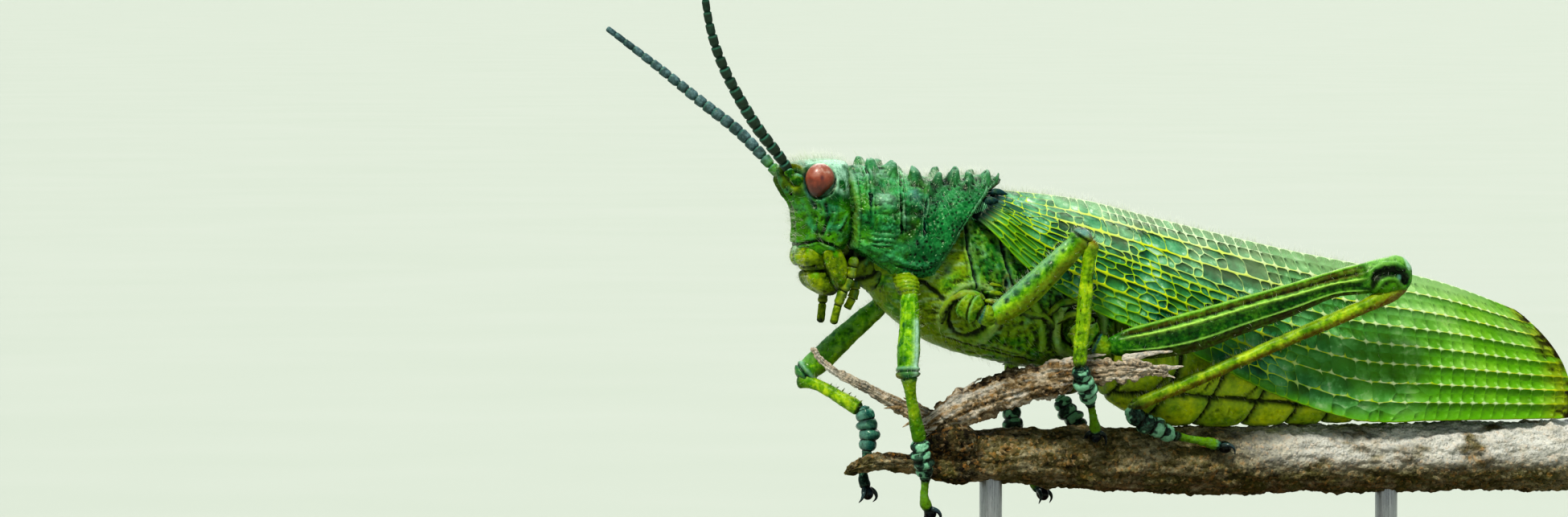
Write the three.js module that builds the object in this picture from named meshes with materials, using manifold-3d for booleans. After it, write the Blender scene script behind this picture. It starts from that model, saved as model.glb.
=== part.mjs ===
// A green milkweed grasshopper at life size. It grips a broken length of branch, which two short rods
// hold over a flat display base.
// Millimetres, +Z up. The head is towards -X and the animal's left side towards -Y. The origin is under
// the middle of the base, on its underside.

import * as THREE from "three";
import { mergeVertices } from "three/addons/utils/BufferGeometryUtils.js";
import Module from "manifold-3d";

const wasm = await Module();
wasm.setup();

// ---- Driving dimensions ----

const GAP = 0.12; // clearance between two pieces that meet
const SIDES = 12; // facets round a limb
const LEFT = -1; // sign of y on the animal's left side
const RIGHT = 1;

const BASE = { length: 74, width: 42, thick: 4, corner: 8 };
const ROD = { radius: 1, spread: 19, socket: 1.4 }; // two rods at x = -spread and +spread
const BRANCH = { left: -33, right: 41.5 };

const HEAD_TOP = 41.9;
const EYE = { x: -36.0, y: 2.75, z: 40.1, long: 1.32, high: 1.46, deep: 1.05 };
const WING = { thick: 0.5, floor: 18.05 }; // the lower margins lie along the branch's top

// ---- Finishes ----

const finish = (color, roughness, metalness = 0) =>
  new THREE.MeshStandardMaterial({ color, roughness, metalness });
const SHELL = finish(0x2f7a3a, 0.35);
const BELLY = finish(0x9aa31c, 0.45);
const LEG = finish(0x6d9420, 0.4);
const HORN = finish(0x16323a, 0.3);
const EYE_RED = finish(0xb4523c, 0.15);
const WING_GREEN = finish(0x8fb43a, 0.4);
const BARK = finish(0x7d6a52, 0.85);
const WOOD = finish(0x3a2a20, 0.5);
const STEEL = finish(0xb0b2b4, 0.3, 1);

// ---- Solids ----

/** A closed geometry as a manifold solid, turned to face outwards. */
function solid(geometry) {
  const bare = geometry.clone();
  bare.deleteAttribute("normal");
  bare.deleteAttribute("uv");
  const merged = mergeVertices(bare, 1e-4);
  const corners = new Uint32Array(merged.index.array);
  const build = () =>
    new wasm.Manifold(
      new wasm.Mesh({
        numProp: 3,
        vertProperties: merged.attributes.position.array,
        triVerts: corners,
      }),
    );
  const made = build();
  if (made.volume() > 0) return made;
  for (let i = 0; i < corners.length; i += 3) {
    [corners[i + 1], corners[i + 2]] = [corners[i + 2], corners[i + 1]];
  }
  return build();
}

/** The largest piece of a solid, without the crumbs that a cut can leave. */
function largest(made) {
  const pieces = made.decompose();
  return pieces.sort((a, b) => b.volume() - a.volume())[0];
}

const group = new THREE.Group();

/** Adds a solid to the group as a named mesh. */
function add(name, made, material) {
  const { numProp, numVert, vertProperties, triVerts } = largest(made).getMesh();
  const positions = new Float32Array(numVert * 3);
  for (let i = 0; i < numVert; i++) {
    positions.set(vertProperties.subarray(i * numProp, i * numProp + 3), i * 3);
  }
  const geometry = new THREE.BufferGeometry();
  geometry.setAttribute("position", new THREE.BufferAttribute(positions, 3));
  geometry.setIndex(new THREE.BufferAttribute(triVerts, 1));
  geometry.computeVertexNormals();
  const mesh = new THREE.Mesh(geometry, material);
  mesh.name = name;
  group.add(mesh);
}

const vec = (x, y, z) => new THREE.Vector3(x, y, z);
const mix = (a, b, t) => a + (b - a) * t;

/**
 * A closed tube. Each station is { at: [x, y, z], wide, tall, pinch }: its ring's half width and half
 * height, and how much the ring narrows towards its upper side. Rings lie across the path, with `up`
 * giving their upper side. `grow` swells the tube by that much all over, and `square` below 1 gives
 * the lower half of each ring upright sides.
 */
function tube(stations, options = {}) {
  const { sides = SIDES, up = [0, 0, 1], grow = 0, tip = 0.4, upright = null, square = 1 } = options;
  const last = stations.length - 1;
  const points = stations.map(({ at }) => vec(...at));
  const rings = points.map((point, i) => {
    const along = upright
      ? vec(...upright)
      : points[Math.min(i + 1, last)].clone().sub(points[Math.max(i - 1, 0)]).normalize();
    const side = vec(...up).cross(along).normalize();
    return { point, along, side, rise: along.clone().cross(side).normalize() };
  });
  const geometry = new THREE.CylinderGeometry(1, 1, 1, sides, last);
  const place = geometry.attributes.position;
  for (let i = 0; i < place.count; i++) {
    const step = Math.round((0.5 - place.getY(i)) * last);
    const across = place.getX(i);
    const above = place.getZ(i);
    const { wide, tall, pinch = 0 } = stations[step];
    const { point, along, side, rise } = rings[step];
    const onAxis = Math.hypot(across, above) < 0.5;
    const end = step === 0 ? -1 : 1;
    const fullness = above < 0 && !onAxis ? Math.abs(across) ** (square - 1) : 1;
    const narrowed = (1 - pinch * Math.max(above, 0)) * Math.min(fullness, 1 / Math.abs(across || 1));
    const put = point
      .clone()
      .addScaledVector(side, across * narrowed * (wide + grow))
      .addScaledVector(rise, above * (tall + grow))
      .addScaledVector(along, step === 0 || step === last ? end * grow : 0)
      .addScaledVector(along, onAxis ? end * tip * Math.min(wide, tall) : 0);
    place.setXYZ(i, put.x, put.y, put.z);
  }
  return solid(geometry);
}

/** A round limb through points, with a radius at each. */
function limb(points, radii, options = {}) {
  const stations = points.map((at, i) => ({ at, wide: radii[i], tall: radii[i] }));
  return tube(stations, options);
}

/** Points spaced along a smooth curve through `points`, and a radius eased from one end to the other. */
function curved(points, steps, radiusAt, options = {}) {
  const curve = new THREE.CatmullRomCurve3(points.map((p) => vec(...p)));
  const at = curve.getSpacedPoints(steps).map((p) => p.toArray());
  return limb(at, at.map((_, i) => radiusAt(i / steps)), options);
}

/** An egg-shaped solid of semi-axes `size`, centred at `at` and tilted about Y by `tilt` degrees. */
function egg(at, size, { tilt = 0, segments = 12, grow = 0 } = {}) {
  const geometry = new THREE.SphereGeometry(1, segments, Math.round(segments * 0.66));
  geometry.scale(...size.map((s) => s + grow));
  geometry.rotateY(THREE.MathUtils.degToRad(tilt));
  geometry.translate(...at);
  return solid(geometry);
}

const union = (solids) => wasm.Manifold.union(solids);
const sided = (side, [x, y, z]) => [x, side * y, z];

// ---- The perch: a branch with a raised splinter and a curled strip of bark ----

// x, height of the axis, radius
const BRANCH_RINGS = [
  [BRANCH.left, 14.3, 0.3],
  [-31.0, 15.05, 0.9],
  [-29.0, 15.5, 1.1],
  [-26.5, 15.3, 1.2],
  [-24.0, 15.65, 1.6],
  [-21.4, 15.6, 2.2],
  [-17.6, 15.6, 2.4],
  [-10.8, 15.3, 2.65],
  [-4.6, 15.0, 2.85],
  [9.0, 14.8, 2.9],
  [25.0, 14.7, 2.95],
  [BRANCH.right, 14.6, 3.1],
];
const branchBody = (grow = 0) =>
  tube(
    BRANCH_RINGS.map(([x, z, r]) => ({ at: [x, 0, z], wide: r * 0.98, tall: r })),
    { sides: 14, grow, tip: 0 },
  );

// The splinter is a slab torn off the branch, which climbs outwards past the animal's left side.
const SPLINTER = [
  { at: [-25.3, -0.4, 18.2], wide: 0.7, tall: 0.9 },
  { at: [-23.4, -0.9, 19.3], wide: 1.0, tall: 1.5 },
  { at: [-20.5, -2.0, 20.7], wide: 1.0, tall: 1.7 },
  { at: [-17.0, -3.5, 22.0], wide: 0.95, tall: 1.65 },
  { at: [-13.2, -5.3, 22.9], wide: 0.85, tall: 1.45 },
  { at: [-10.0, -6.7, 23.3], wide: 0.6, tall: 1.2 },
  { at: [-7.4, -7.5, 23.3], wide: 0.45, tall: 0.95 },
  { at: [-4.7, -7.9, 23.2], wide: 0.3, tall: 0.35 },
];
const splinterBody = (grow = 0) => tube(SPLINTER, { sides: 10, grow });

const TWIG = [
  [-24.6, -0.1, 18.9],
  [-27.9, -0.2, 20.3],
  [-30.7, -0.4, 21.7],
  [-33.3, -0.5, 23.0],
  [-35.0, -0.4, 24.2],
  [-35.8, -0.2, 25.4],
];
const twigBody = (grow = 0) => curved(TWIG, 9, (t) => mix(0.6, 0.26, t), { sides: 6, grow });

// ---- Trunk ----

// x, top, bottom, half width
const THORAX_RINGS = [
  [-31.2, 38.0, 31.4, 2.4],
  [-29.2, 38.8, 28.7, 3.6],
  [-26.2, 39.0, 26.4, 4.5],
  [-23.0, 38.9, 25.0, 5.1],
  [-19.0, 38.6, 24.0, 5.3],
  [-15.0, 37.9, 23.2, 5.25],
  [-11.5, 37.0, 22.4, 4.9],
  [-8.6, 36.0, 21.4, 4.4],
];
const ABDOMEN_RINGS = [
  [-8.3, 35.0, 20.6, 4.1],
  [-4.4, 33.9, 18.9, 3.85],
  [-0.4, 32.4, 18.1, 3.6],
  [3.8, 30.4, 18.05, 3.3],
  [8.0, 28.2, 18.05, 2.95],
  [12.0, 25.6, 18.05, 2.5],
  [16.0, 22.9, 18.1, 1.9],
  [19.5, 20.9, 18.2, 1.2],
  [21.5, 20.0, 18.6, 0.6],
];
const SCALLOP = 0.12; // how far each abdominal ring stands out past its joints

function trunk(rings, { grow = 0, sides = 18, pinch = 0.12 } = {}) {
  const stations = rings.map(([x, top, bottom, half]) => ({
    at: [x, 0, (top + bottom) / 2],
    wide: half,
    tall: (top - bottom) / 2,
    pinch,
  }));
  return tube(stations, { grow, sides, upright: [1, 0, 0], tip: 0 });
}
const thoraxBody = (grow = 0) => trunk(THORAX_RINGS, { grow });

/** The abdomen's rings, doubled so that each segment swells between two joints. */
function abdomenBody(grow = 0) {
  const jointed = ABDOMEN_RINGS.flatMap((ring, i) => {
    const next = ABDOMEN_RINGS[i + 1];
    if (!next) return [ring];
    const middle = ring.map((value, k) => mix(value, next[k], 0.5));
    return [ring, [middle[0], middle[1] + SCALLOP, middle[2], middle[3] + SCALLOP]];
  });
  return trunk(jointed, { grow, sides: 14, pinch: 0.12 });
}

// ---- Pronotum: the saddle over the front of the thorax ----

const PRONOTUM = { front: -33.1, tipX: -17.2, back: 40.3, fall: 8.7, rake: 9.2 };
// share of the length, top, lowest edge, half width
const PRONOTUM_RINGS = [
  [0.0, 41.0, 34.1, 4.15],
  [0.17, 41.2, 33.4, 4.6],
  [0.34, 40.5, 32.6, 4.95],
  [0.52, 40.2, 31.8, 5.3],
  [0.75, 40.4, 31.4, 5.7],
  [1.0, 40.1, 31.6, 5.85],
];
// x, distance from the middle, height of the tip, radius of the foot
const TUBERCLES = [
  [-32.3, 1.2, 41.9, 0.5],
  [-30.5, 1.5, 42.3, 0.6],
  [-28.8, 1.8, 41.9, 0.8],
  [-26.8, 2.2, 41.0, 0.7],
  [-24.6, 2.8, 41.1, 0.75],
  [-22.5, 2.6, 41.1, 0.6],
  [-20.0, 2.2, 41.0, 0.55],
  [-17.9, 0.7, 40.5, 0.4],
];

/** How far forward the rear margin lies at a height, from nothing on the back to most at the lower edge. */
const rearCut = (z) =>
  PRONOTUM.rake * THREE.MathUtils.clamp((PRONOTUM.back - z) / PRONOTUM.fall, 0, 1) ** 0.45;

function pronotumBody(grow = 0) {
  const stations = PRONOTUM_RINGS.map(([share, top, low, half]) => ({
    at: [mix(PRONOTUM.front, PRONOTUM.tipX, share), 0, (top + low) / 2],
    wide: half,
    tall: (top - low) / 2,
    pinch: 0.14,
  }));
  const saddle = tube(stations, { grow, sides: 20, upright: [1, 0, 0], tip: 0, square: 0.15 });
  const raked = saddle.warp((p) => {
    const share = (p[0] - PRONOTUM.front) / (PRONOTUM.tipX - PRONOTUM.front);
    p[0] -= rearCut(p[2]) * THREE.MathUtils.clamp(share, 0, 1);
  });
  const knobs = [LEFT, RIGHT].flatMap((side) =>
    TUBERCLES.map(([x, y, top, r]) =>
      limb(
        [
          [x, side * y * 0.9, top - 1.9],
          [x, side * y, top - 0.15],
        ],
        [r * 1.25, r * 0.42].map((radius) => Math.max(radius, 0.2) + grow),
        { sides: 6, up: [1, 0, 0], tip: 0.5 },
      ),
    ),
  );
  return union([raked, ...knobs]);
}

// ---- Head ----

// height, front, back, half width, and how much the ring narrows towards the face
const HEAD_RINGS = [
  [33.5, -36.9, -34.0, 2.6, 0.2],
  [34.3, -37.4, -32.9, 3.5, 0.22],
  [35.8, -37.5, -32.5, 3.8, 0.25],
  [37.6, -37.7, -32.4, 3.75, 0.3],
  [39.0, -38.5, -32.4, 3.5, 0.38],
  [40.3, -39.3, -32.4, 3.2, 0.42],
  [41.1, -38.9, -32.5, 2.7, 0.4],
  [41.6, -38.0, -32.7, 1.9, 0.3],
  [HEAD_TOP, -36.2, -33.6, 0.9, 0.1],
];
const headBody = (grow = 0) =>
  tube(
    HEAD_RINGS.map(([z, front, back, half, pinch]) => ({
      at: [(front + back) / 2, 0, z],
      wide: half,
      tall: (back - front) / 2,
      pinch,
    })),
    { sides: 16, up: [-1, 0, 0], upright: [0, 0, 1], grow, tip: 0 },
  );

const eyeBody = (side, grow = 0) =>
  egg(sided(side, [EYE.x, EYE.y, EYE.z]), [EYE.long, EYE.deep, EYE.high], { grow, segments: 12 });

const clypeusBody = (grow = 0) =>
  tube(
    [
      { at: [-35.6, 0, 33.9], wide: 1.9, tall: 1.5, pinch: 0.1 },
      { at: [-35.7, 0, 33.2], wide: 2.0, tall: 1.6, pinch: 0.12 },
      { at: [-35.2, 0, 32.1], wide: 1.8, tall: 1.4, pinch: 0.12 },
    ],
    { up: [-1, 0, 0], upright: [0, 0, 1], grow, tip: 0 },
  );
const labrumBody = (grow = 0) =>
  tube(
    [
      { at: [-35.2, 0, 32.0], wide: 1.75, tall: 1.2, pinch: 0.2 },
      { at: [-34.9, 0, 31.0], wide: 1.75, tall: 1.15, pinch: 0.2 },
      { at: [-34.4, 0, 29.9], wide: 1.15, tall: 0.8, pinch: 0.2 },
    ],
    { up: [-1, 0, 0], upright: [0, 0, 1], grow, tip: 0.2 },
  );
const mandibleBody = (side, grow = 0) =>
  limb(
    [
      sided(side, [-35.0, 2.6, 34.2]),
      sided(side, [-34.6, 2.7, 33.0]),
      sided(side, [-34.1, 2.2, 31.6]),
      sided(side, [-33.8, 1.4, 30.6]),
    ],
    [0.75, 1.0, 0.85, 0.45],
    { sides: 8, grow },
  );

// The palps hang behind the mouth in short jointed lengths.
const MAXILLARY_PALP = [
  [-32.9, 2.9, 33.4],
  [-33.1, 2.8, 32.2],
  [-33.4, 2.6, 31.2],
  [-33.9, 2.2, 30.0],
  [-34.4, 1.6, 27.5],
];
const LABIAL_PALP = [
  [-32.3, 1.4, 31.3],
  [-32.4, 1.4, 30.1],
  [-33.0, 1.2, 28.8],
];
const palpBody = (side, path, grow = 0) =>
  limb(path.map((p) => sided(side, p)), path.map((_, i) => mix(0.45, 0.36, i / 4)), { sides: 8, grow });

const ANTENNA = {
  base: 0.52,
  tip: 0.27,
  left: [
    [-38.3, -1.0, 40.9],
    [-39.3, -1.5, 42.1],
    [-41.5, -2.0, 44.6],
    [-43.5, -2.5, 47.4],
    [-45.2, -3.0, 50.3],
    [-46.3, -3.3, 53.1],
    [-46.9, -3.5, 55.8],
    [-47.3, -3.5, 58.9],
  ],
  right: [
    [-38.5, 1.0, 40.5],
    [-39.9, 2.0, 42.4],
    [-41.6, 3.5, 44.5],
    [-44.3, 5.5, 47.0],
    [-47.3, 7.5, 49.8],
    [-51.3, 10.0, 53.3],
  ],
};
const antennaBody = (path, grow = 0) =>
  curved(path, 16, (t) => mix(ANTENNA.base, ANTENNA.tip, t), { sides: 6, grow });

// ---- Wings: folded fore wings, roofed over the abdomen ----

const WING_TOP = new THREE.SplineCurve(
  [
    [-19.2, 38.9],
    [-11.1, 37.8],
    [-2.6, 35.8],
    [9.0, 33.1],
    [23.0, 30.4],
    [31.4, 27.6],
  ].map(([x, z]) => new THREE.Vector2(x, z)),
);
const WING_LOW = new THREE.SplineCurve(
  [
    [-22.6, 37.2],
    [-17.6, 32.2],
    [-11.2, 28.5],
    [-4.2, 25.7],
    [2.1, 22.8],
    [7.6, 20.4],
    [14.9, WING.floor + 0.25],
    [36.2, WING.floor],
  ].map(([x, z]) => new THREE.Vector2(x, z)),
);
const WING_TIP_BULGE = 1.75;
const WING_SPREAD = { hinge: 5.95, perMm: 0.075 }; // the lower margin's distance out, less towards the tip

/** The wing's middle surface: s runs from hinge to tip and t from the back down to the lower margin. */
function wingPoint(side, s, t) {
  const top = WING_TOP.getPoint(s);
  const low = WING_LOW.getPoint(s);
  const x = mix(top.x, low.x, t) + WING_TIP_BULGE * 4 * t * (1 - t) * s ** 3;
  const z = mix(top.y, low.y, t);
  const ridge = mix(1.3, 0.5, Math.min(s * 2.5, 1));
  const spread = WING_SPREAD.hinge - WING_SPREAD.perMm * (x + 21);
  return vec(x, side * mix(ridge, spread, 1 - (1 - t) ** 3), z);
}

function wingBody(side) {
  const geometry = new THREE.BoxGeometry(1, 1, 1, 16, 1, 6);
  const place = geometry.attributes.position;
  const step = 1e-3;
  for (let i = 0; i < place.count; i++) {
    const s = place.getX(i) + 0.5;
    const t = place.getZ(i) + 0.5;
    const here = wingPoint(side, s, t);
    const along = wingPoint(side, Math.min(s + step, 1), t).sub(wingPoint(side, Math.max(s - step, 0), t));
    const down = wingPoint(side, s, Math.min(t + step, 1)).sub(wingPoint(side, s, Math.max(t - step, 0)));
    const outward = along.cross(down).normalize();
    here.addScaledVector(outward, place.getY(i) * WING.thick);
    place.setXYZ(i, here.x, here.y, here.z);
  }
  return solid(geometry);
}

// ---- Legs ----

// Along the hind femur: share of its length, rise off the straight line, and half height.
const HIND_FEMUR = [
  [0, 0, 0.65],
  [0.063, -0.25, 1.2],
  [0.14, -0.5, 1.5],
  [0.27, -0.6, 1.7],
  [0.43, -0.3, 1.52],
  [0.59, 0, 1.34],
  [0.755, 0.42, 1.1],
  [0.853, 0.24, 1.38],
  [0.92, 0, 1.65],
  [0.975, -0.05, 1.5],
  [1, 0, 0.8],
];
const hindFemur = (foot, knee) =>
  HIND_FEMUR.map(([share, rise]) => [
    mix(foot[0], knee[0], share),
    mix(foot[1], knee[1], share),
    mix(foot[2], knee[2], share) + rise,
  ]);

// Joints from body to claw. Here y is the distance out from the middle, whichever the side.
const LEGS = {
  fore_left: {
    side: LEFT,
    coxa: [[-28.6, 3.2, 32.4], [-28.6, 4.6, 31.4], [-28.6, 5.1, 30.4]],
    femur: [[-28.6, 5.1, 30.3], [-28.8, 5.6, 27.5], [-29.2, 6.3, 23.9], [-29.2, 6.4, 22.9]],
    tibia: [[-29.1, 6.35, 22.8], [-28.7, 5.8, 21.0], [-27.5, 4.5, 17.6]],
    tarsus: [
      [-27.4, 4.4, 17.3], [-27.0, 4.05, 15.6], [-26.6, 3.7, 14.2],
      [-26.5, 3.2, 12.1], [-25.9, 2.9, 11.1],
    ],
  },
  fore_right: {
    side: RIGHT,
    coxa: [[-27.9, 3.2, 31.2], [-27.5, 4.3, 30.0], [-27.3, 4.9, 29.2]],
    femur: [[-27.4, 5.0, 28.9], [-29.8, 5.6, 26.8], [-33.3, 6.4, 23.5], [-34.6, 6.8, 22.4]],
    tibia: [[-34.2, 6.5, 22.2], [-33.0, 5.3, 21.7], [-30.5, 2.9, 19.9]],
    tarsus: [
      [-30.0, 2.6, 19.8], [-29.7, 2.3, 18.3], [-29.8, 2.1, 16.5],
      [-30.3, 1.9, 14.2], [-30.1, 1.5, 12.7],
    ],
  },
  middle_left: {
    side: LEFT,
    coxa: [[-23.6, 4.4, 29.4], [-22.6, 5.4, 28.7], [-21.8, 5.9, 28.2]],
    femur: [[-21.2, 6.0, 28.0], [-18.4, 6.7, 30.1], [-14.5, 7.9, 34.0], [-13.2, 8.2, 35.7]],
    tibia: [[-12.9, 8.25, 34.4], [-13.2, 8.1, 31.0], [-13.7, 7.7, 24.0]],
    tarsus: [
      [-13.6, 7.6, 23.6], [-12.6, 6.4, 21.9], [-11.6, 5.1, 20.3],
      [-10.6, 3.6, 18.3], [-10.3, 3.0, 17.5],
    ],
  },
  middle_right: {
    side: RIGHT,
    coxa: [[-23.6, 4.4, 28.6], [-22.8, 5.2, 27.6], [-22.2, 5.6, 27.0]],
    femur: [[-22.0, 5.7, 26.9], [-19.4, 7.0, 28.9], [-14.9, 8.9, 32.0], [-13.6, 9.3, 32.8]],
    tibia: [[-13.3, 9.2, 32.2], [-14.0, 7.4, 27.6], [-15.4, 4.4, 20.4]],
    tarsus: [
      [-15.5, 4.1, 19.8], [-15.3, 3.8, 17.9], [-14.8, 3.5, 15.8],
      [-14.0, 2.9, 13.4], [-13.4, 2.1, 12.2],
    ],
  },
  hind_left: {
    side: LEFT,
    coxa: [[-12.6, 4.0, 27.4], [-11.6, 5.0, 26.0], [-10.7, 5.5, 25.4]],
    femur: hindFemur([-10.4, 5.8, 25.35], [18.1, 7.5, 31.8]),
    tibia: [[15.9, 7.5, 29.9], [14.4, 7.4, 28.95], [7.5, 6.6, 26.1], [-1.5, 5.0, 22.3], [-7.2, 3.9, 19.9]],
    tarsus: [[-7.5, 3.9, 19.5], [-5.4, 3.6, 18.3], [-3.0, 3.35, 17.3], [0.2, 3.3, 16.6], [1.7, 3.35, 16.2]],
  },
  hind_right: {
    side: RIGHT,
    coxa: [[-12.6, 4.0, 26.9], [-11.6, 5.0, 25.5], [-10.8, 5.6, 24.9]],
    femur: hindFemur([-10.4, 5.9, 24.9], [15.6, 15.9, 29.3]),
    tibia: [
      [13.6, 14.9, 27.6], [12.2, 14.4, 26.8], [6.0, 12.0, 25.0],
      [-4.0, 7.9, 22.4], [-10.2, 5.3, 21.0],
    ],
    tarsus: [
      [-10.5, 4.8, 20.3], [-9.8, 4.2, 18.9], [-8.8, 3.6, 17.6],
      [-6.8, 3.3, 16.8], [-5.6, 3.2, 16.4],
    ],
  },
};
// Half thickness along each length, by pair of legs.
const LEG_RADII = {
  fore: { coxa: [1.1, 1.1, 0.8], femur: [0.75, 0.9, 1.0, 0.85], tibia: [0.6, 0.6, 0.72] },
  middle: { coxa: [1.25, 1.1, 0.85], femur: [0.8, 1.15, 1.1, 0.85], tibia: [0.6, 0.72, 0.65] },
  hind: {
    coxa: [1.5, 1.3, 0.95],
    femur: HIND_FEMUR.map(([, , radius]) => radius),
    tibia: [0.62, 0.6, 0.62, 0.62, 0.7],
  },
};
const FEMUR_FLATNESS = { fore: 1, middle: 1, hind: 0.6 }; // thickness over height
const TARSUS_RADII = [0.62, 0.72, 0.68, 0.46, 0.55];
const PAD_PINCH = 0.76; // how far the foot narrows between its pads

/** A foot as a chain of pads: full at each joint and narrow between. */
function tarsusBody(side, joints) {
  const curve = new THREE.CatmullRomCurve3(joints.map((p) => vec(...sided(side, p))));
  const steps = 10;
  const stations = curve.getPoints(steps).map((point, i) => {
    const share = (i / steps) * (TARSUS_RADII.length - 1);
    const low = Math.min(Math.floor(share), TARSUS_RADII.length - 2);
    const radius = mix(TARSUS_RADII[low], TARSUS_RADII[low + 1], share - low) * (i % 2 ? PAD_PINCH : 1);
    return { at: point.toArray(), wide: radius, tall: radius };
  });
  return tube(stations, { sides: 8, up: [0.2, 1, 0.1] });
}

// ---- Assembly: each piece is cut back from those that it meets ----

const cut = (made, ...others) => others.reduce((left, other) => left.subtract(other), made);

// The larger bodies with their clearance, for cutting others back.
const CLEAR = {
  branch: branchBody(GAP),
  splinter: splinterBody(GAP),
  twig: twigBody(GAP),
  thorax: thoraxBody(GAP),
  abdomen: abdomenBody(GAP),
  pronotum: pronotumBody(GAP),
  head: headBody(GAP),
  clypeus: clypeusBody(GAP),
  labrum: labrumBody(GAP),
};

function addStand() {
  const outline = new THREE.Shape();
  const [halfX, halfY, corner] = [BASE.length / 2, BASE.width / 2, BASE.corner];
  outline.absarc(halfX - corner, halfY - corner, corner, 0, Math.PI / 2);
  outline.absarc(corner - halfX, halfY - corner, corner, Math.PI / 2, Math.PI);
  outline.absarc(corner - halfX, corner - halfY, corner, Math.PI, Math.PI * 1.5);
  outline.absarc(halfX - corner, corner - halfY, corner, Math.PI * 1.5, Math.PI * 2);
  const slab = new THREE.ExtrudeGeometry(outline, {
    depth: BASE.thick,
    bevelEnabled: false,
    curveSegments: 6,
  });
  add("stand_base", solid(slab), WOOD);
  rodPlaces().forEach(([name, x, top]) => add(name, rodBody(x, BASE.thick, top), STEEL));
}

/** Each rod's name, place and top, which stands in a socket in the branch's underside. */
function rodPlaces() {
  const underside = (x) => {
    const next = BRANCH_RINGS.findIndex((ring) => ring[0] > x);
    const [a, b] = [BRANCH_RINGS[next - 1], BRANCH_RINGS[next]];
    const share = (x - a[0]) / (b[0] - a[0]);
    return mix(a[1], b[1], share) - mix(a[2], b[2], share);
  };
  return [
    ["stand_rod_front", -ROD.spread],
    ["stand_rod_rear", ROD.spread],
  ].map(([name, x]) => [name, x, underside(x) + ROD.socket]);
}

function rodBody(x, bottom, top, grow = 0) {
  const height = top - bottom + grow;
  const geometry = new THREE.CylinderGeometry(ROD.radius + grow, ROD.radius + grow, height, 20);
  geometry.rotateX(Math.PI / 2);
  geometry.translate(x, 0, bottom + height / 2);
  return solid(geometry);
}

function addPerch() {
  const sockets = rodPlaces().map(([, x, top]) => rodBody(x, BASE.thick, top, GAP));
  add("perch_branch", cut(branchBody(), ...sockets), BARK);
  add("perch_splinter", cut(splinterBody(), CLEAR.branch), BARK);
  add("perch_twig", cut(twigBody(), CLEAR.branch, CLEAR.splinter), BARK);
}

function addHead() {
  const eyes = [LEFT, RIGHT].map((side) => eyeBody(side, GAP));
  add("head", cut(headBody(), CLEAR.pronotum, CLEAR.thorax, ...eyes), SHELL);
  add("clypeus", cut(clypeusBody(), CLEAR.head), BELLY);
  add("labrum", cut(labrumBody(), CLEAR.head, CLEAR.clypeus), BELLY);
  const mouth = [CLEAR.head, CLEAR.clypeus, CLEAR.labrum];
  [["left", LEFT], ["right", RIGHT]].forEach(([word, side]) => {
    add(`eye_${word}`, eyeBody(side), EYE_RED);
    add(`mandible_${word}`, cut(mandibleBody(side), ...mouth), BELLY);
    const beside = [...mouth, mandibleBody(side, GAP), CLEAR.thorax];
    add(`palp_maxillary_${word}`, cut(palpBody(side, MAXILLARY_PALP), ...beside), BELLY);
    const within = [...beside, palpBody(side, MAXILLARY_PALP, GAP)];
    add(`palp_labial_${word}`, cut(palpBody(side, LABIAL_PALP), ...within), BELLY);
    add(`antenna_${word}`, cut(antennaBody(ANTENNA[word]), CLEAR.head), HORN);
  });
}

function addTrunk() {
  add("pronotum", cut(pronotumBody(), CLEAR.thorax), SHELL);
  add("thorax", thoraxBody(), SHELL);
  add("abdomen", cut(abdomenBody(), CLEAR.thorax, CLEAR.branch), BELLY);
  const body = [CLEAR.thorax, CLEAR.abdomen, CLEAR.pronotum, CLEAR.branch];
  add("wing_left", cut(wingBody(LEFT), ...body), WING_GREEN);
  add("wing_right", cut(wingBody(RIGHT), ...body), WING_GREEN);
}

function addLegs() {
  const perch = [CLEAR.branch, CLEAR.splinter];
  const trunkParts = [CLEAR.thorax, CLEAR.abdomen, CLEAR.pronotum];
  for (const [name, { side, coxa, femur, tibia, tarsus }] of Object.entries(LEGS)) {
    const pair = name.split("_")[0];
    const radii = LEG_RADII[pair];
    const place = (points) => points.map((p) => sided(side, p));
    const coxaBody = (grow = 0) => limb(place(coxa), radii.coxa, { grow, sides: 10 });
    const femurBody = (grow = 0) =>
      tube(
        place(femur).map((at, i) => ({
          at,
          wide: radii.femur[i] * FEMUR_FLATNESS[pair],
          tall: radii.femur[i],
        })),
        { grow, sides: 10, up: pair === "hind" ? [0, 0, 1] : [-1, 0, 0.2] },
      );
    const tibiaBody = (grow = 0) => limb(place(tibia), radii.tibia, { grow, sides: 8, up: [0.1, 1, 0.1] });
    add(`coxa_${name}`, cut(coxaBody(), ...trunkParts), LEG);
    add(`femur_${name}`, cut(femurBody(), coxaBody(GAP), ...perch, ...trunkParts), LEG);
    add(`tibia_${name}`, cut(tibiaBody(), femurBody(GAP), ...perch), LEG);
    add(`tarsus_${name}`, cut(tarsusBody(side, tarsus), tibiaBody(GAP), ...perch, CLEAR.twig), HORN);
  }
}

addStand();
addPerch();
addTrunk();
addHead();
addLegs();

export default group;
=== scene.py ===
import math
from contextlib import contextmanager
from itertools import product

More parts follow.
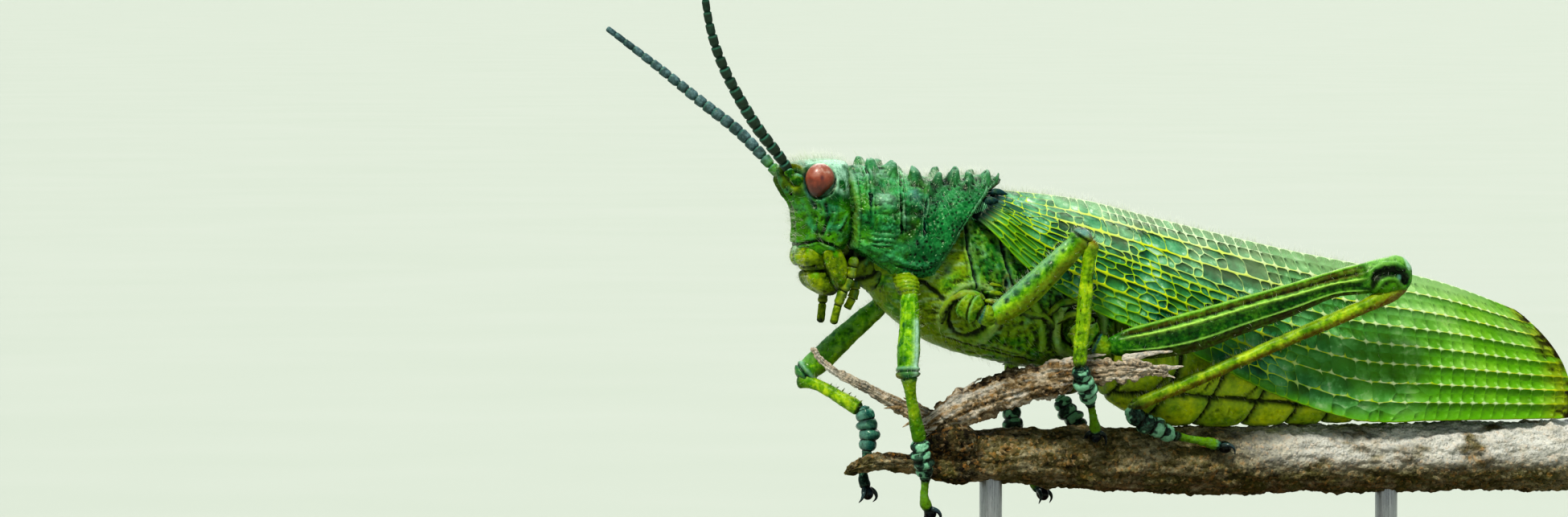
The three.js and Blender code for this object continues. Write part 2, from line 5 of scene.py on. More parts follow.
import bpy
import numpy as np
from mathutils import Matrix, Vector


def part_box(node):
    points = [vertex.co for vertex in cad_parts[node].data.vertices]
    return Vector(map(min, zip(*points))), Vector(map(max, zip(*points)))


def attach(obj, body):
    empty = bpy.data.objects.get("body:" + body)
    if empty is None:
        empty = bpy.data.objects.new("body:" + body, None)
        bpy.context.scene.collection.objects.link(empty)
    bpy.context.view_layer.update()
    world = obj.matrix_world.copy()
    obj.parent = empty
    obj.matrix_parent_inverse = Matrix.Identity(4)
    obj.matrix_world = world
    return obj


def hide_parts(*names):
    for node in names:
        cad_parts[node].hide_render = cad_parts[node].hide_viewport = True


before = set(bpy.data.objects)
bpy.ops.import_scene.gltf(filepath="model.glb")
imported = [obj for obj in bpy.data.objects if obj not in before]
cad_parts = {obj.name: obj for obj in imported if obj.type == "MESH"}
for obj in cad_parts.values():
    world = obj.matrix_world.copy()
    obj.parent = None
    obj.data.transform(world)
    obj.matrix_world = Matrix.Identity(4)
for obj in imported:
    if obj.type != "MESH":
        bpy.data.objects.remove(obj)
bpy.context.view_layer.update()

# A milkweed grasshopper at rest on a cut branch, held on a display stand.
# Lengths are in millimetres until they are put into a mesh. +X is towards the tail, -Y is the
# animal's left side and +Z is up, as in the frame. "Folded" places give the distance out from the
# middle instead of Y, so that one list shapes both sides.

MM = 0.001
SIDES = {"left": -1, "right": 1}
RAYS = 2 * math.pi
RINGS_TO_THE_ENDS = 0.6  # how far a limb's rings are drawn towards its two ends
SKINS = {}  # the finished piece that stands for each CAD node


# ---- Working on one mesh at a time ----


def deselect():
    for obj in bpy.context.selected_objects:
        obj.select_set(False)


def pick(*objs):
    deselect()
    for obj in objs:
        obj.select_set(True)
    bpy.context.view_layer.objects.active = objs[0]


def named(name):
    """Names the primitive that was just added."""
    obj = bpy.context.object
    obj.name = obj.data.name = name
    return obj


@contextmanager
def editing(obj, action="SELECT"):
    pick(obj)
    bpy.ops.object.mode_set(mode="EDIT")
    bpy.ops.mesh.select_all(action=action)
    yield
    bpy.ops.object.mode_set(mode="OBJECT")


@contextmanager
def editing_only(obj, kind, parts, wanted):
    """Edits with only the wanted edges or faces selected."""
    with editing(obj, "DESELECT"):
        bpy.ops.mesh.select_mode(type=kind)
    parts.foreach_set("select", np.asarray(wanted, bool))
    pick(obj)
    bpy.ops.object.mode_set(mode="EDIT")
    yield
    bpy.ops.object.mode_set(mode="OBJECT")


def modify(obj, kind, **settings):
    """Adds a modifier, sets it and applies it."""
    pick(obj)
    modifier = obj.modifiers.new(kind, kind)
    for key, value in settings.items():
        setattr(modifier, key, value)
    bpy.ops.object.modifier_apply(modifier=modifier.name)


def subdivide(obj, levels):
    if levels:
        modify(obj, "SUBSURF", levels=levels, render_levels=levels)


def face_out(obj):
    with editing(obj):
        bpy.ops.mesh.normals_make_consistent(inside=False)


def read(parts, field, width=1, kind=np.int64):
    """One field of a mesh's points, edges, faces or corners, with `width` numbers for each."""
    flat = np.empty(len(parts) * width, kind)
    parts.foreach_get(field, flat)
    return flat if width == 1 else flat.reshape(-1, width)


def grab(obj):
    """The mesh's points in mm, as rows."""
    return read(obj.data.vertices, "co", 3, float) / MM


def put(obj, points):
    obj.data.vertices.foreach_set("co", (np.asarray(points) * MM).ravel())
    obj.data.update()


def outward(obj):
    """The direction each point faces."""
    return read(obj.data.vertex_normals, "vector", 3, np.float32).astype(float)


def remember(obj, **values):
    """Keeps one number for each point, which later steps and materials read."""
    for name, value in values.items():
        layer = obj.data.attributes.get(name) or obj.data.attributes.new(name, "FLOAT", "POINT")
        spread = np.broadcast_to(np.asarray(value, np.float32), len(obj.data.vertices))
        layer.data.foreach_set("value", np.ascontiguousarray(spread))


def recall(obj, name):
    layer = obj.data.attributes.get(name)
    values = np.zeros(len(obj.data.vertices), np.float32)
    if layer is not None:
        layer.data.foreach_get("value", values)
    return values.astype(float)


def joined(name, pieces):
    pick(*pieces)
    if len(pieces) > 1:
        bpy.ops.object.join()
    return named(name)


def relief(obj, steps):
    """How far each point lies in a hollow (above 0) or stands proud (below 0) of its surroundings, in mm."""
    mesh = obj.data
    a, b = read(mesh.edges, "vertices", 2).T
    count = len(mesh.vertices)
    degree = np.bincount(a, minlength=count) + np.bincount(b, minlength=count)
    points = grab(obj)
    eased = points.copy()
    for _ in range(steps):
        near = [np.bincount(a, eased[b, k], count) + np.bincount(b, eased[a, k], count) for k in range(3)]
        eased = 0.5 * eased + 0.5 * np.stack(near, axis=1) / degree[:, None]
    return np.einsum("ij,ij->i", eased - points, outward(obj))


def finished(obj, material, *nodes, slot):
    """Gives a piece its material, its place on the body and the CAD nodes that it stands for."""
    pick(obj)
    bpy.ops.object.shade_smooth()
    obj.data.materials.clear()
    obj.data.materials.append(material)
    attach(obj, "root")
    if nodes:
        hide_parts(*nodes)
        obj.name = obj.data.name = f"{nodes[0]}_skin"
        SKINS[nodes[0]] = obj


# ---- Numbers: curves, distances and seeded roughness ----


def mix(a, b, share):
    return a + (b - a) * share


def ramp(value, low, high):
    """0 below low, 1 above high, eased between."""
    t = np.clip((value - low) / (high - low), 0, 1)
    return t * t * (3 - 2 * t)


def bell(distance, width):
    return np.exp(-((distance / width) ** 2))


def unit(way):
    """A direction, or rows of directions, at length 1."""
    way = np.asarray(way, float)
    return way / np.linalg.norm(way, axis=-1, keepdims=True)


def half_turn_from(turn, middle):
    """How far round each turn lies from a middle one, from 0 to pi."""
    return np.abs(np.angle(np.exp(1j * (turn - middle))))


def to_the_ends(along, strength):
    """Draws evenly spaced rings towards the two ends of a tube."""
    return mix(along, 0.5 - 0.5 * np.cos(along * math.pi), strength)


def blunted(share, run, depth):
    """Narrows a tube over a short run at both ends, so that each ends in a low dome."""
    return np.sqrt(1 - np.clip(1 - np.minimum(share, 1 - share) / run, 0, 1) ** 2 * depth)


def curve(u, start, leaving, end, arriving):
    """The smooth curve from start to end, at a share u, with its slopes at both ends."""
    return (
        (2 * u**3 - 3 * u**2 + 1) * start
        + (u**3 - 2 * u**2 + u) * leaving
        + (3 * u**2 - 2 * u**3) * end
        + (u**3 - u**2) * arriving
    )


def flow(rows, share):
    """A smooth curve through rows spaced evenly, the first at share 0 and the last at share 1."""
    rows = np.asarray(rows, float)
    rows = rows.reshape(len(rows), -1)
    last = len(rows) - 1
    slope = np.empty_like(rows)
    slope[1:-1] = (rows[2:] - rows[:-2]) / 2
    slope[0] = (rows[1] - rows[0]) / 2
    slope[-1] = (rows[-1] - rows[-2]) / 2
    place = np.clip(share, 0, 1) * last
    i = np.minimum(place.astype(int), last - 1)
    u = (place - i)[:, None]
    return curve(u, rows[i], slope[i], rows[i + 1], slope[i + 1])


def swell(pairs, share):
    """A smooth value through (share, value) pairs."""
    keys, values = np.asarray(pairs, float).T
    slope = np.gradient(values, keys)
    i = np.clip(np.searchsorted(keys, share) - 1, 0, len(keys) - 2)
    gap = keys[i + 1] - keys[i]
    u = np.clip((share - keys[i]) / gap, 0, 1)
    return curve(u, values[i], gap * slope[i], values[i + 1], gap * slope[i + 1])


def chance(i, j, k, seed):
    """A fixed random number from 0 to 1 for each whole-number place."""
    h = (i * 374761393 + j * 668265263 + k * 1440662683 + seed * 1274126177) & 0xFFFFFFFF
    h = ((h ^ (h >> 13)) * 1274126177) & 0xFFFFFFFF
    return ((h ^ (h >> 16)) & 0xFFFFFF) / 0xFFFFFF


def ripple(points, size, seed=0, octaves=3):
    """Smooth random values from -1 to 1, with swells about `size` mm apart and finer ones on them."""
    size = np.broadcast_to(np.asarray(size, float), 3)
    total, weight, strength = np.zeros(len(points)), 0.0, 1.0
    for octave in range(octaves):
        place = points / size * 2**octave
        cell = np.floor(place).astype(np.int64)
        u = place - cell
        u = u * u * (3 - 2 * u)
        value = np.zeros(len(points))
        for corner in product((0, 1), repeat=3):
            near = np.prod(np.where(corner, u, 1 - u), axis=1)
            value += near * chance(*(cell + corner).T, seed + 17 * octave)
        total += strength * (value * 2 - 1)
        weight += strength
        strength *= 0.5
    return total / weight * 1.6


def pebbles(points, size, seed=0):
    """How far each point is from the nearest of many scattered centres, in pebble sizes."""
    place = points / np.broadcast_to(np.asarray(size, float), 3)
    cell = np.floor(place).astype(np.int64)
    nearest = np.full(len(points), 9.0)
    for step in product((-1, 0, 1), repeat=3):
        there = cell + step
        centre = there + np.stack([chance(*there.T, seed + n) for n in range(3)], axis=1)
        nearest = np.minimum(nearest, np.linalg.norm(centre - place, axis=1))
    return nearest


def from_line(points, line):
    """Each point's distance from a line through the given places, and its share of the way along."""
    line = np.asarray(line, float)
    spans = np.linalg.norm(np.diff(line, axis=0), axis=1)
    starts = np.concatenate([[0], np.cumsum(spans)])
    nearest, share = np.full(len(points), np.inf), np.zeros(len(points))
    for a, b, span, start in zip(line[:-1], line[1:], spans, starts):
        u = np.clip((points - a) @ (b - a) / span**2, 0, 1)
        away = np.linalg.norm(points - a - u[:, None] * (b - a), axis=1)
        better = away < nearest
        nearest = np.where(better, away, nearest)
        share = np.where(better, (start + u * span) / starts[-1], share)
    return nearest, share


# ---- Blanks: tubes drawn out of a disc ----


def blank_tube(name, sides, rings):
    """A closed tube of radius 1 whose rings lie one unit apart, extruded from a disc."""
    deselect()
    bpy.ops.mesh.primitive_circle_add(vertices=sides, radius=1, fill_type="NGON")
    tube = named(name)
    with editing(tube):
        for _ in range(rings - 1):
            bpy.ops.mesh.extrude_region_move(TRANSFORM_OT_translate={"value": (0, 0, 1)})
    return tube


def draw_tube(name, sides, rings, levels, place):
    """A tube whose points are laid by place(share along, cosine, sine) and then subdivided."""
    tube = blank_tube(name, sides, rings)
    raw = grab(tube) * MM
    along = np.rint(raw[:, 2]) / (rings - 1)
    across, above = raw[:, 0], raw[:, 1]
    put(tube, place(along, across, above))
    remember(tube, along=along, across=across, above=above)
    face_out(tube)
    subdivide(tube, levels)
    return tube


def limb(name, path, profile, flat=1.0, sides=16, rings=18, levels=2, up=(0, 0, 1), blunt=0.06):
    """A round-ended limb along a smooth path. profile gives (share, half height); flat is its
    thickness over its height, a number or (share, value) pairs."""
    dense = flow(path, np.linspace(0, 1, 400))
    run = np.concatenate([[0], np.cumsum(np.linalg.norm(np.diff(dense, axis=0), axis=1))])
    run /= run[-1]

    def on_path(share):
        return np.stack([np.interp(share, run, dense[:, k]) for k in range(3)], axis=1)

    def place(along, across, above):
        share = to_the_ends(along, RINGS_TO_THE_ENDS)
        heading = unit(on_path(share + 0.01) - on_path(share - 0.01))
        side = unit(np.cross(np.broadcast_to(np.asarray(up, float), heading.shape), heading))
        rise = np.cross(heading, side)
        tall = swell(profile, share) * blunted(share, blunt, 0.86)
        thickness = swell(flat, share) if isinstance(flat, (list, tuple)) else flat
        return on_path(share) + (side.T * across * tall * thickness + rise.T * above * tall).T

    made = draw_tube(name, sides, rings, levels, place)
    remember(made, along=to_the_ends(recall(made, "along"), RINGS_TO_THE_ENDS))
    return made


def reach_back(path, length):
    """The path with its start drawn back, so that a joint ends inside the one before it."""
    first, second = np.asarray(path[0], float), np.asarray(path[1], float)
    return [tuple(first + unit(first - second) * length)] + list(path[1:])


def folded(side, path):
    return [(x, side * y, z) for x, y, z in path]


def dark_border(clay, way, start=0.42, end=0.05, night=0.75):
    """Darkens what turns away from a folded direction: the shade in the gap beside a plate."""
    mirror = np.ones_like(clay.out)
    mirror[:, 1] = np.sign(clay.points[:, 1])
    clay.tint(ramp((clay.out * mirror) @ unit(way), start, end), night=night)


class Clay:
    """A mesh while it is sculpted: strokes add up in `lift`, and `press` moves the surface."""

    def __init__(self, obj):
        self.obj = obj
        self.masks = {}
        self.along = recall(obj, "along")
        self.turn = np.arctan2(recall(obj, "above"), recall(obj, "across"))
        self.look()

    def look(self):
        self.points = grab(self.obj)
        self.out = outward(self.obj)
        self.fold = self.points * (1, 0, 1) + np.abs(self.points) * (0, 1, 0)
        self.lift = np.zeros(len(self.points))

    def tint(self, amount, **colours):
        for colour, strength in colours.items():
            self.masks[colour] = np.clip(self.masks.get(colour, 0) + amount * strength, 0, 1)

    def ring(self, at, width):
        """A soft band across the piece, at a share of its length."""
        return bell(self.along - at, width)

    def line(self, path, width, lift=0.0, lips=0.0, fade=0.0, **colours):
        """A groove (lift below 0) or ridge along a folded line, with raised lips on both sides."""
        away, share = from_line(self.fold, path)
        ends = ramp(share, 0, fade) * ramp(1 - share, 0, fade) if fade else 1.0
        core = bell(away, width) * ends
        self.lift += lift * core + lips * bell(away - 1.9 * width, width * 0.8) * ends
        self.tint(core, **colours)

    def spot(self, at, radius, lift=0.0, hard=2.0, **colours):
        """A bump or pit round a folded place. radius is a number or one for each axis."""
        away = np.linalg.norm((self.fold - at) / np.broadcast_to(radius, 3), axis=1)
        core = np.exp(-(away**hard))
        self.lift += lift * core
        self.tint(core, **colours)

    def rough(self, size, lift, seed, where=1.0, octaves=3):
        """Random swells, about `size` mm apart."""
        self.lift += lift * ripple(self.points, size, seed, octaves) * where

    def fleck(self, size, seed, low, high, where=1.0, octaves=3, **colours):
        """Tints random patches: where the swells are below low nothing, and above high in full."""
        self.tint(ramp(ripple(self.points, size, seed, octaves), low, high) * where, **colours)

    def crinkle(self, size, lift, seed, where=1.0):
        """Sharp-edged wrinkles: valleys run where the random swells cross zero."""
        finer = ripple(self.points, np.asarray(size) * 0.45, seed + 5, 2)
        wave = np.abs(ripple(self.points, size, seed, 2)) + 0.4 * np.abs(finer)
        self.lift += lift * np.clip(wave * 1.6 - 0.5, -0.5, 1) * where

    def beads(self, size, lift, seed, where=1.0, **colours):
        """Round grains set close together."""
        grain = ramp(pebbles(self.points, size, seed), 0.62, 0.1)
        self.lift += lift * grain * where
        self.tint(grain * where, **colours)

    def pits(self, size, depth, seed, where=1.0, reach=0.34, **colours):
        """Round pricks scattered over the surface."""
        prick = ramp(pebbles(self.points, size, seed), reach, 0.05)
        self.lift -= depth * prick * where
        self.tint(prick * where, **colours)

    def press(self):
        self.points = self.points + self.out * self.lift[:, None]
        put(self.obj, self.points)
        self.look()

    def done(self, fine=0.022, broad=0.09, shine=0.0):
        """Ends the sculpting, and notes the hollows for painted shade and the crests for painted highlights.
        """
        if np.any(self.lift):
            self.press()
        near, far = relief(self.obj, 6), relief(self.obj, 30)
        hollow = np.clip(near / fine, 0, 1) * 0.6 + np.clip(far / broad, 0, 1) * 0.75
        crest = np.clip(-near / fine - 0.15, 0, 1) * 0.6 + np.clip(-far / broad - 0.2, 0, 1) * 0.5
        # Painted sheen: crests that face up go pale.
        if shine:
            self.tint(crest * ramp(self.out[:, 2], 0.1, 0.8), frost=shine)
        remember(self.obj, hollow=np.clip(hollow, 0, 1), crest=np.clip(crest, 0, 1), **self.masks)


# ---- Materials ----


def ink(red, green, blue):
    """A colour given as it looks on a screen, 0 to 255, in Blender's own linear values."""
    linear = [((c / 255 + 0.055) / 1.055) ** 2.4 if c > 10 else c / 255 / 12.92 for c in (red, green, blue)]
    return (*linear, 1.0)


def blend_ink(a, b, share=0.5):
    return tuple(mix(x, y, share) for x, y in zip(a, b))


class Finish:
    """A material while its nodes are wired. `place` is the piece's own coordinates."""

    def __init__(self, name, **fixed):
        self.made = bpy.data.materials.new(name)
        self.made.use_nodes = True
        self.tree = self.made.node_tree
        self.shader = self.tree.nodes["Principled BSDF"]
        for key, value in fixed.items():
            self.shader.inputs[key.replace("_", " ")].default_value = value
        self.place = self.node("ShaderNodeTexCoord").outputs["Object"]

    def node(self, kind, inputs=(), **settings):
        """Adds a node; an input given as a socket is linked and any other is set."""
        node = self.tree.nodes.new(kind)
        for key, value in settings.items():
            setattr(node, key, value)
        for key, value in dict(inputs).items():
            if isinstance(value, bpy.types.NodeSocket):
                self.tree.links.new(value, node.inputs[key])
            else:
                node.inputs[key].default_value = value
        return node

    def blend(self, share, a, b):
        return self.node("ShaderNodeMix", {0: share, 6: a, 7: b}, data_type="RGBA").outputs[2]

    def times(self, a, b):
        return self.node("ShaderNodeMath", {0: a, 1: b}, operation="MULTIPLY", use_clamp=True).outputs[0]

    def plus(self, a, b):
        return self.node("ShaderNodeMath", {0: a, 1: b}, operation="ADD").outputs[0]

    def mask(self, name):
        return self.node("ShaderNodeAttribute", attribute_name=name).outputs["Fac"]

    def stain(self, colour, name, share, tone):
        """Lays a tone over the colour, where the mask of that name says."""
        return self.blend(self.times(self.mask(name), share), colour, tone)

    def stretched(self, *scale):
        """The coordinates scaled along each axis, for a grain that runs one way."""
        return self.node("ShaderNodeMapping", {"Vector": self.place, "Scale": scale}).outputs["Vector"]

    def speckle(self, size, detail=4.0, rough=0.6, twist=0.0, place=None):
        """Noise whose blotches are about `size` mm across."""
        place = self.place if place is None else place
        look = {"Detail": detail, "Roughness": rough, "Distortion": twist}
        scale = 1 / (size * MM * 1.6)
        return self.node("ShaderNodeTexNoise", {"Vector": place, "Scale": scale, **look}).outputs["Fac"]

    def cells(self, size, randomness=1.0):
        """A scatter of cells, about `size` mm from one to the next."""
        inputs = {"Vector": self.place, "Scale": 1 / (size * MM), "Randomness": randomness}
        return self.node("ShaderNodeTexVoronoi", inputs).outputs

    def stops(self, value, *pairs):
        """A colour ramp through (place, colour) pairs."""
        node = self.node("ShaderNodeValToRGB", {"Fac": value})
        bar = node.color_ramp.elements
        while len(bar) < len(pairs):
            bar.new(0.5)
        for element, (place, colour) in zip(bar, pairs):
            element.position, element.color = place, colour
        return node.outputs["Color"]

    def between(self, value, low, high, start=0.0, end=1.0):
        """Maps start to low and end to high."""
        span = {"From Min": start, "From Max": end, "To Min": low, "To Max": high}
        return self.node("ShaderNodeMapRange", {"Value": value, **span}).outputs["Result"]

    def done(self, colour, roughness, *heights):
        """Joins up the colour, the roughness and a stack of bumps, each (height, depth in mm)."""
        self.tree.links.new(colour, self.shader.inputs["Base Color"])
        self.tree.links.new(roughness, self.shader.inputs["Roughness"])
        below = {}
        for height, depth in heights:
            bump = {"Height": height, "Distance": depth * MM, "Strength": 1.0, **below}
            below = {"Normal": self.node("ShaderNodeBump", bump).outputs["Normal"]}
        if below:
            self.tree.links.new(below["Normal"], self.shader.inputs["Normal"])
        return self.made


# What the painted masks stand for, from the broadest to the finest. The pale bluish layer is in part a
# painted sheen, and the near-black one serves for painted shade as well as dark marks.
SHELL_LAYERS = (
    ("yellow", ink(122, 146, 0)), ("lime", ink(74, 146, 0)), ("teal", ink(8, 104, 50)),
    ("bright", ink(66, 170, 112)), ("mint", ink(168, 214, 84)), ("frost", ink(170, 216, 190)),
    ("blue", ink(24, 86, 104)), ("rust", ink(104, 70, 4)), ("night", ink(0, 8, 4)),
)
# Each shell's name, its deep, middle and bright tones, the size of its mottles in mm, its range of
# roughness, the size and depth of its grain in mm, and what else sets it apart; shine sets the painted
# highlight on its crests.
SHELLS = {
    "head": ("Head_shell", ((0, 36, 0), (8, 72, 0), (56, 136, 6)), 0.9, (0.16, 0.36), 0.13, 0.03,
             {"pits": 0.015, "pit_size": 0.22, "shine": 0.16}),
    "saddle": ("Saddle_shell", ((0, 36, 12), (6, 92, 34), (60, 158, 84)), 0.7, (0.11, 0.3), 0.13, 0.03,
               {"pits": 0.03, "pit_size": 0.24}),
    "trunk": ("Trunk_shell", ((4, 44, 0), (44, 114, 0), (142, 192, 20)), 0.9, (0.24, 0.5), 0.13, 0.03,
              {"pits": 0.015, "pit_size": 0.26}),
    "belly": ("Belly_plates", ((78, 104, 0), (160, 188, 0), (216, 230, 0)), 0.8, (0.28, 0.55), 0.14, 0.02,
              {}),
    "mouth": ("Mouth_plates", ((30, 54, 0), (100, 126, 0), (160, 176, 0)), 0.6, (0.26, 0.48), 0.13, 0.02,
              {}),
    "leg": ("Leg_shell", ((24, 80, 0), (82, 146, 0), (156, 204, 20)), 0.7, (0.18, 0.4), 0.12, 0.015,
            {"coat": 0.04, "shine": 0.25}),
    "thigh": ("Thigh_shell", ((4, 44, 0), (28, 96, 0), (96, 164, 24)), 0.7, (0.2, 0.42), 0.12, 0.02,
              {"coat": 0.04}),
    "shin": ("Shin_shell", ((52, 90, 0), (112, 158, 0), (184, 210, 30)), 0.6, (0.26, 0.48), 0.12, 0.015,
             {"shine": 0.25}),
    "foot": ("Foot_pads", ((0, 12, 12), (14, 62, 50), (110, 176, 140)), 0.4, (0.18, 0.4), 0.1, 0.015,
             {"coat": 0.15}),
    "claw": ("Claw_horn", ((2, 6, 10), (6, 14, 22), (30, 54, 74)), 0.5, (0.16, 0.34), 0.1, 0.006,
             {"coat": 0.2}),
    "feeler_left": ("Feeler_black", ((0, 8, 4), (2, 20, 14), (16, 48, 40)), 0.4, (0.26, 0.45), 0.08, 0.012,
                    {}),
    "feeler_right": ("Feeler_grey", ((10, 30, 34), (36, 64, 72), (92, 124, 130)), 0.4, (0.3, 0.5), 0.08,
                     0.012, {}),
    "throat": ("Throat_skin", ((4, 26, 0), (30, 62, 0), (104, 136, 10)), 0.6, (0.35, 0.6), 0.14, 0.03, {}),
}
SHADE = {"darkness": 0.15, "depth": 0.9}  # how dark the painted shade in a shell's hollows is, and how strongly it shows


def make_materials():
    made = {key: cuticle(*shell[:-1], **shell[-1]) for key, shell in SHELLS.items()}
    made["eye"] = eye_glass()
    made["wing"] = wing_skin()
    made["bark"] = bark("Branch_bark", ((38, 32, 12), (94, 88, 48), (178, 170, 140)), 1.0)
    made["torn"] = bark("Torn_wood", ((46, 34, 20), (128, 108, 74), (218, 204, 178)), 0.5)
    made["hair"] = hair_white()
    made["board"] = stained_board()
    made["rod"] = brushed_rod()
    return made


def cuticle(name, tones, mottle, gloss, grain, relief, pits=0.0, pit_size=0.3, coat=0.0, shine=0.3):
    """Insect shell: mottled between three tones, with the painted layers over them, each broken up by
    fine noise; painted shade darkens the hollows and a painted highlight pales the crests, under a skin of
    small bumps and pits."""
    deep, body, bright = (ink(*tone) for tone in tones)
    shell = Finish(name, IOR=1.4, Coat_Weight=coat, Coat_Roughness=0.15, Specular_IOR_Level=0.26,
                   Specular_Tint=(0.85, 1.0, 0.7, 1.0))
    broad = shell.speckle(mottle * 2.2, 3.0, 0.55, 0.6)
    fine = shell.speckle(mottle * 0.45, 5.0, 0.65)
    value = shell.between(shell.plus(broad, fine), 0.0, 1.0, 0.74, 1.26)
    colour = shell.stops(value, (0.0, deep), (0.45, body), (1.0, bright))
    ragged = shell.between(shell.speckle(grain * 1.5, 3.0, 0.7), 0.45, 1.55, 0.3, 0.7)
    for mask_name, tone in SHELL_LAYERS:
        colour = shell.stain(colour, mask_name, ragged, tone)
    # Painted shade in the hollows, then a painted highlight on the crests.
    shadow = tuple(channel * SHADE["darkness"] for channel in deep[:3]) + (1.0,)
    colour = shell.stain(colour, "hollow", SHADE["depth"], shadow)
    lit = shell.blend(0.5, colour, blend_ink(bright, ink(190, 226, 190), 0.3))
    colour = shell.stain(colour, "crest", shine, lit)
    heights = [(shell.speckle(grain, 3.0, 0.6), relief)]
    if pits:
        heights.append((shell.between(shell.cells(pit_size)["Distance"], 0.0, 1.0, 0.05, 0.55), pits))
    return shell.done(colour, shell.between(fine, *gloss, 0.35, 0.65), *heights)


def eye_glass():
    lens = Finish("Eye_lens", IOR=1.5, Coat_Weight=0.3, Coat_Roughness=0.25)
    cloud = lens.speckle(0.45, 4.0, 0.6)
    # The lens pales towards the top: its own red-brown below, under a painted highlight over the top.
    value = lens.plus(lens.mask("height"), lens.between(cloud, -0.2, 0.2, 0.3, 0.7))
    colour = lens.stops(value, (0.0, ink(46, 18, 6)), (0.28, ink(92, 36, 18)), (0.55, ink(132, 58, 34)),
                        (0.78, ink(156, 94, 74)), (0.92, ink(182, 146, 132)), (1.0, ink(204, 186, 180)))
    colour = lens.stain(colour, "pupil", 1.0, ink(76, 36, 44))
    facets = lens.between(lens.cells(0.075, 0.35)["Distance"], 1.0, 0.0, 0.1, 0.6)
    return lens.done(colour, lens.between(cloud, 0.32, 0.5, 0.3, 0.7), (facets, 0.006))


def wing_skin():
    """Leathery fore wing: green glass-like cells between raised yellow-green veins."""
    skin = Finish("Wing_leather", IOR=1.4, Specular_IOR_Level=0.3, Specular_Tint=(0.85, 1.0, 0.6, 1.0))
    reach = skin.mask("reach")
    cloud, fine, glint = skin.speckle(2.2), skin.speckle(0.16, 4.0, 0.65), skin.speckle(0.5, 3.0)
    # The cells: teal near the hinge and pale green beyond, each with its own tone and painted shade under its
    # upper vein, fading lighter towards its lower edge.
    tone = skin.between(skin.mask("patch"), 0.14, 0.42)
    for part in (skin.between(cloud, -0.34, 0.34, 0.36, 0.64), skin.between(glint, 0.0, 0.3, 0.56, 0.7),
                 skin.between(skin.mask("slope"), -0.16, 0.2, -1.0, 1.0)):
        tone = skin.plus(tone, part)
    near = skin.stops(tone, (0.0, ink(6, 58, 34)), (0.3, ink(30, 108, 70)), (0.62, ink(96, 168, 118)),
                      (1.0, ink(208, 232, 204)))
    # In the pleated part every other row of cells is darker: painted shade on the pleat slopes that face
    # down.
    value = skin.plus(skin.between(skin.mask("band"), 0.2, 0.3), skin.between(tone, 0.0, 0.3))
    far = skin.stops(value, (0.0, ink(44, 112, 2)), (0.35, ink(92, 158, 16)), (0.7, ink(144, 194, 58)),
                     (1.0, ink(204, 228, 164)))
    cell = skin.blend(skin.between(reach, 0.0, 1.0, 0.5, 0.86), near, far)
    cell = skin.stain(cell, "green", 0.75, ink(86, 156, 6))
    # The veins, and how far each of them spreads over its sides.
    hue = skin.between(skin.speckle(2.2), 0.0, 1.0, 0.35, 0.65)
    vein = skin.blend(hue, ink(134, 184, 0), ink(192, 214, 30))
    # The pale layer on the veins is a painted sheen, along the upper edge and as beads on the pleat ridges.
    for name, share, tint in (("main", 0.9, ink(206, 216, 20)), ("minor", 0.7, ink(142, 192, 44)),
                              ("green", 0.8, ink(96, 158, 8)), ("frost", 0.9, ink(222, 240, 200))):
        vein = skin.stain(vein, name, share, tint)
    edge = skin.between(reach, 0.4, 0.56, 0.56, 0.74)
    on_vein = skin.between(skin.mask("vein"), 0.0, 1.0, edge, skin.plus(edge, 0.17))
    colour = skin.blend(on_vein, cell, vein)
    # Over the veins and cells: the painted sheen once more, and the margin's own rust, dark and blue.
    for name, share, tint in (("frost", 0.4, ink(180, 206, 160)), ("rust", 0.8, ink(132, 138, 0)),
                              ("night", 1.0, ink(34, 26, 2)), ("blue", 1.0, ink(6, 16, 36))):
        colour = skin.stain(colour, name, share, tint)
    return skin.done(colour, skin.between(fine, 0.26, 0.5, 0.3, 0.7), (cloud, 0.08), (fine, 0.03))


def bark(name, tones, size):
    """Weathered wood: long streaks, broad stains and loose grains of several colours."""
    deep, body, pale = (ink(*tone) for tone in tones)
    wood = Finish(name, IOR=1.45, Specular_IOR_Level=0.2)
    streak = wood.speckle(0.6 * size, 6.0, 0.75, 0.4, wood.stretched(0.3, 1.0, 1.0))
    blotch = wood.speckle(2.4 * size, 5.0, 0.7)
    crumb = wood.speckle(0.26, 4.0, 0.75)
    value = wood.between(wood.plus(streak, blotch), 0.0, 1.0, 0.76, 1.24)
    colour = wood.stops(value, (0.0, deep), (0.4, body), (0.72, blend_ink(body, pale)), (1.0, pale))
    ragged = wood.between(crumb, 0.5, 1.5, 0.32, 0.68)
    # The pale layer is partly pale wood and partly painted light on the branch's upper side.
    for mask_name, tone in (("moss", ink(78, 82, 20)), ("frost", ink(226, 226, 220)),
                            ("tan", ink(188, 156, 108)), ("night", ink(18, 11, 5))):
        colour = wood.stain(colour, mask_name, ragged, tone)
    grains = wood.cells(0.3)
    hue = wood.node("ShaderNodeSeparateColor", {"Color": grains["Color"]}).outputs["Red"]
    grain = wood.stops(hue, (0.0, ink(22, 14, 6)), (0.3, deep), (0.55, body), (0.78, ink(170, 124, 60)),
                       (1.0, pale))
    colour = wood.blend(wood.between(crumb, 0.04, 0.66, 0.42, 0.62), colour, grain)
    colour = wood.stain(colour, "frost", 0.4, ink(214, 216, 208))
    domes = wood.between(grains["Distance"], 1.0, 0.0, 0.0, 0.6)
    return wood.done(colour, wood.between(streak, 0.65, 0.92, 0.3, 0.7), (streak, 0.2 * size), (crumb, 0.12),
                     (domes, 0.08))


def hair_white():
    hair = Finish("Fine_hair", IOR=1.5, Sheen_Weight=0.2)
    tint = hair.speckle(0.8, 2.0)
    colour = hair.stops(tint, (0.3, ink(196, 210, 170)), (0.7, ink(246, 248, 240)))
    return hair.done(colour, hair.between(tint, 0.4, 0.6))


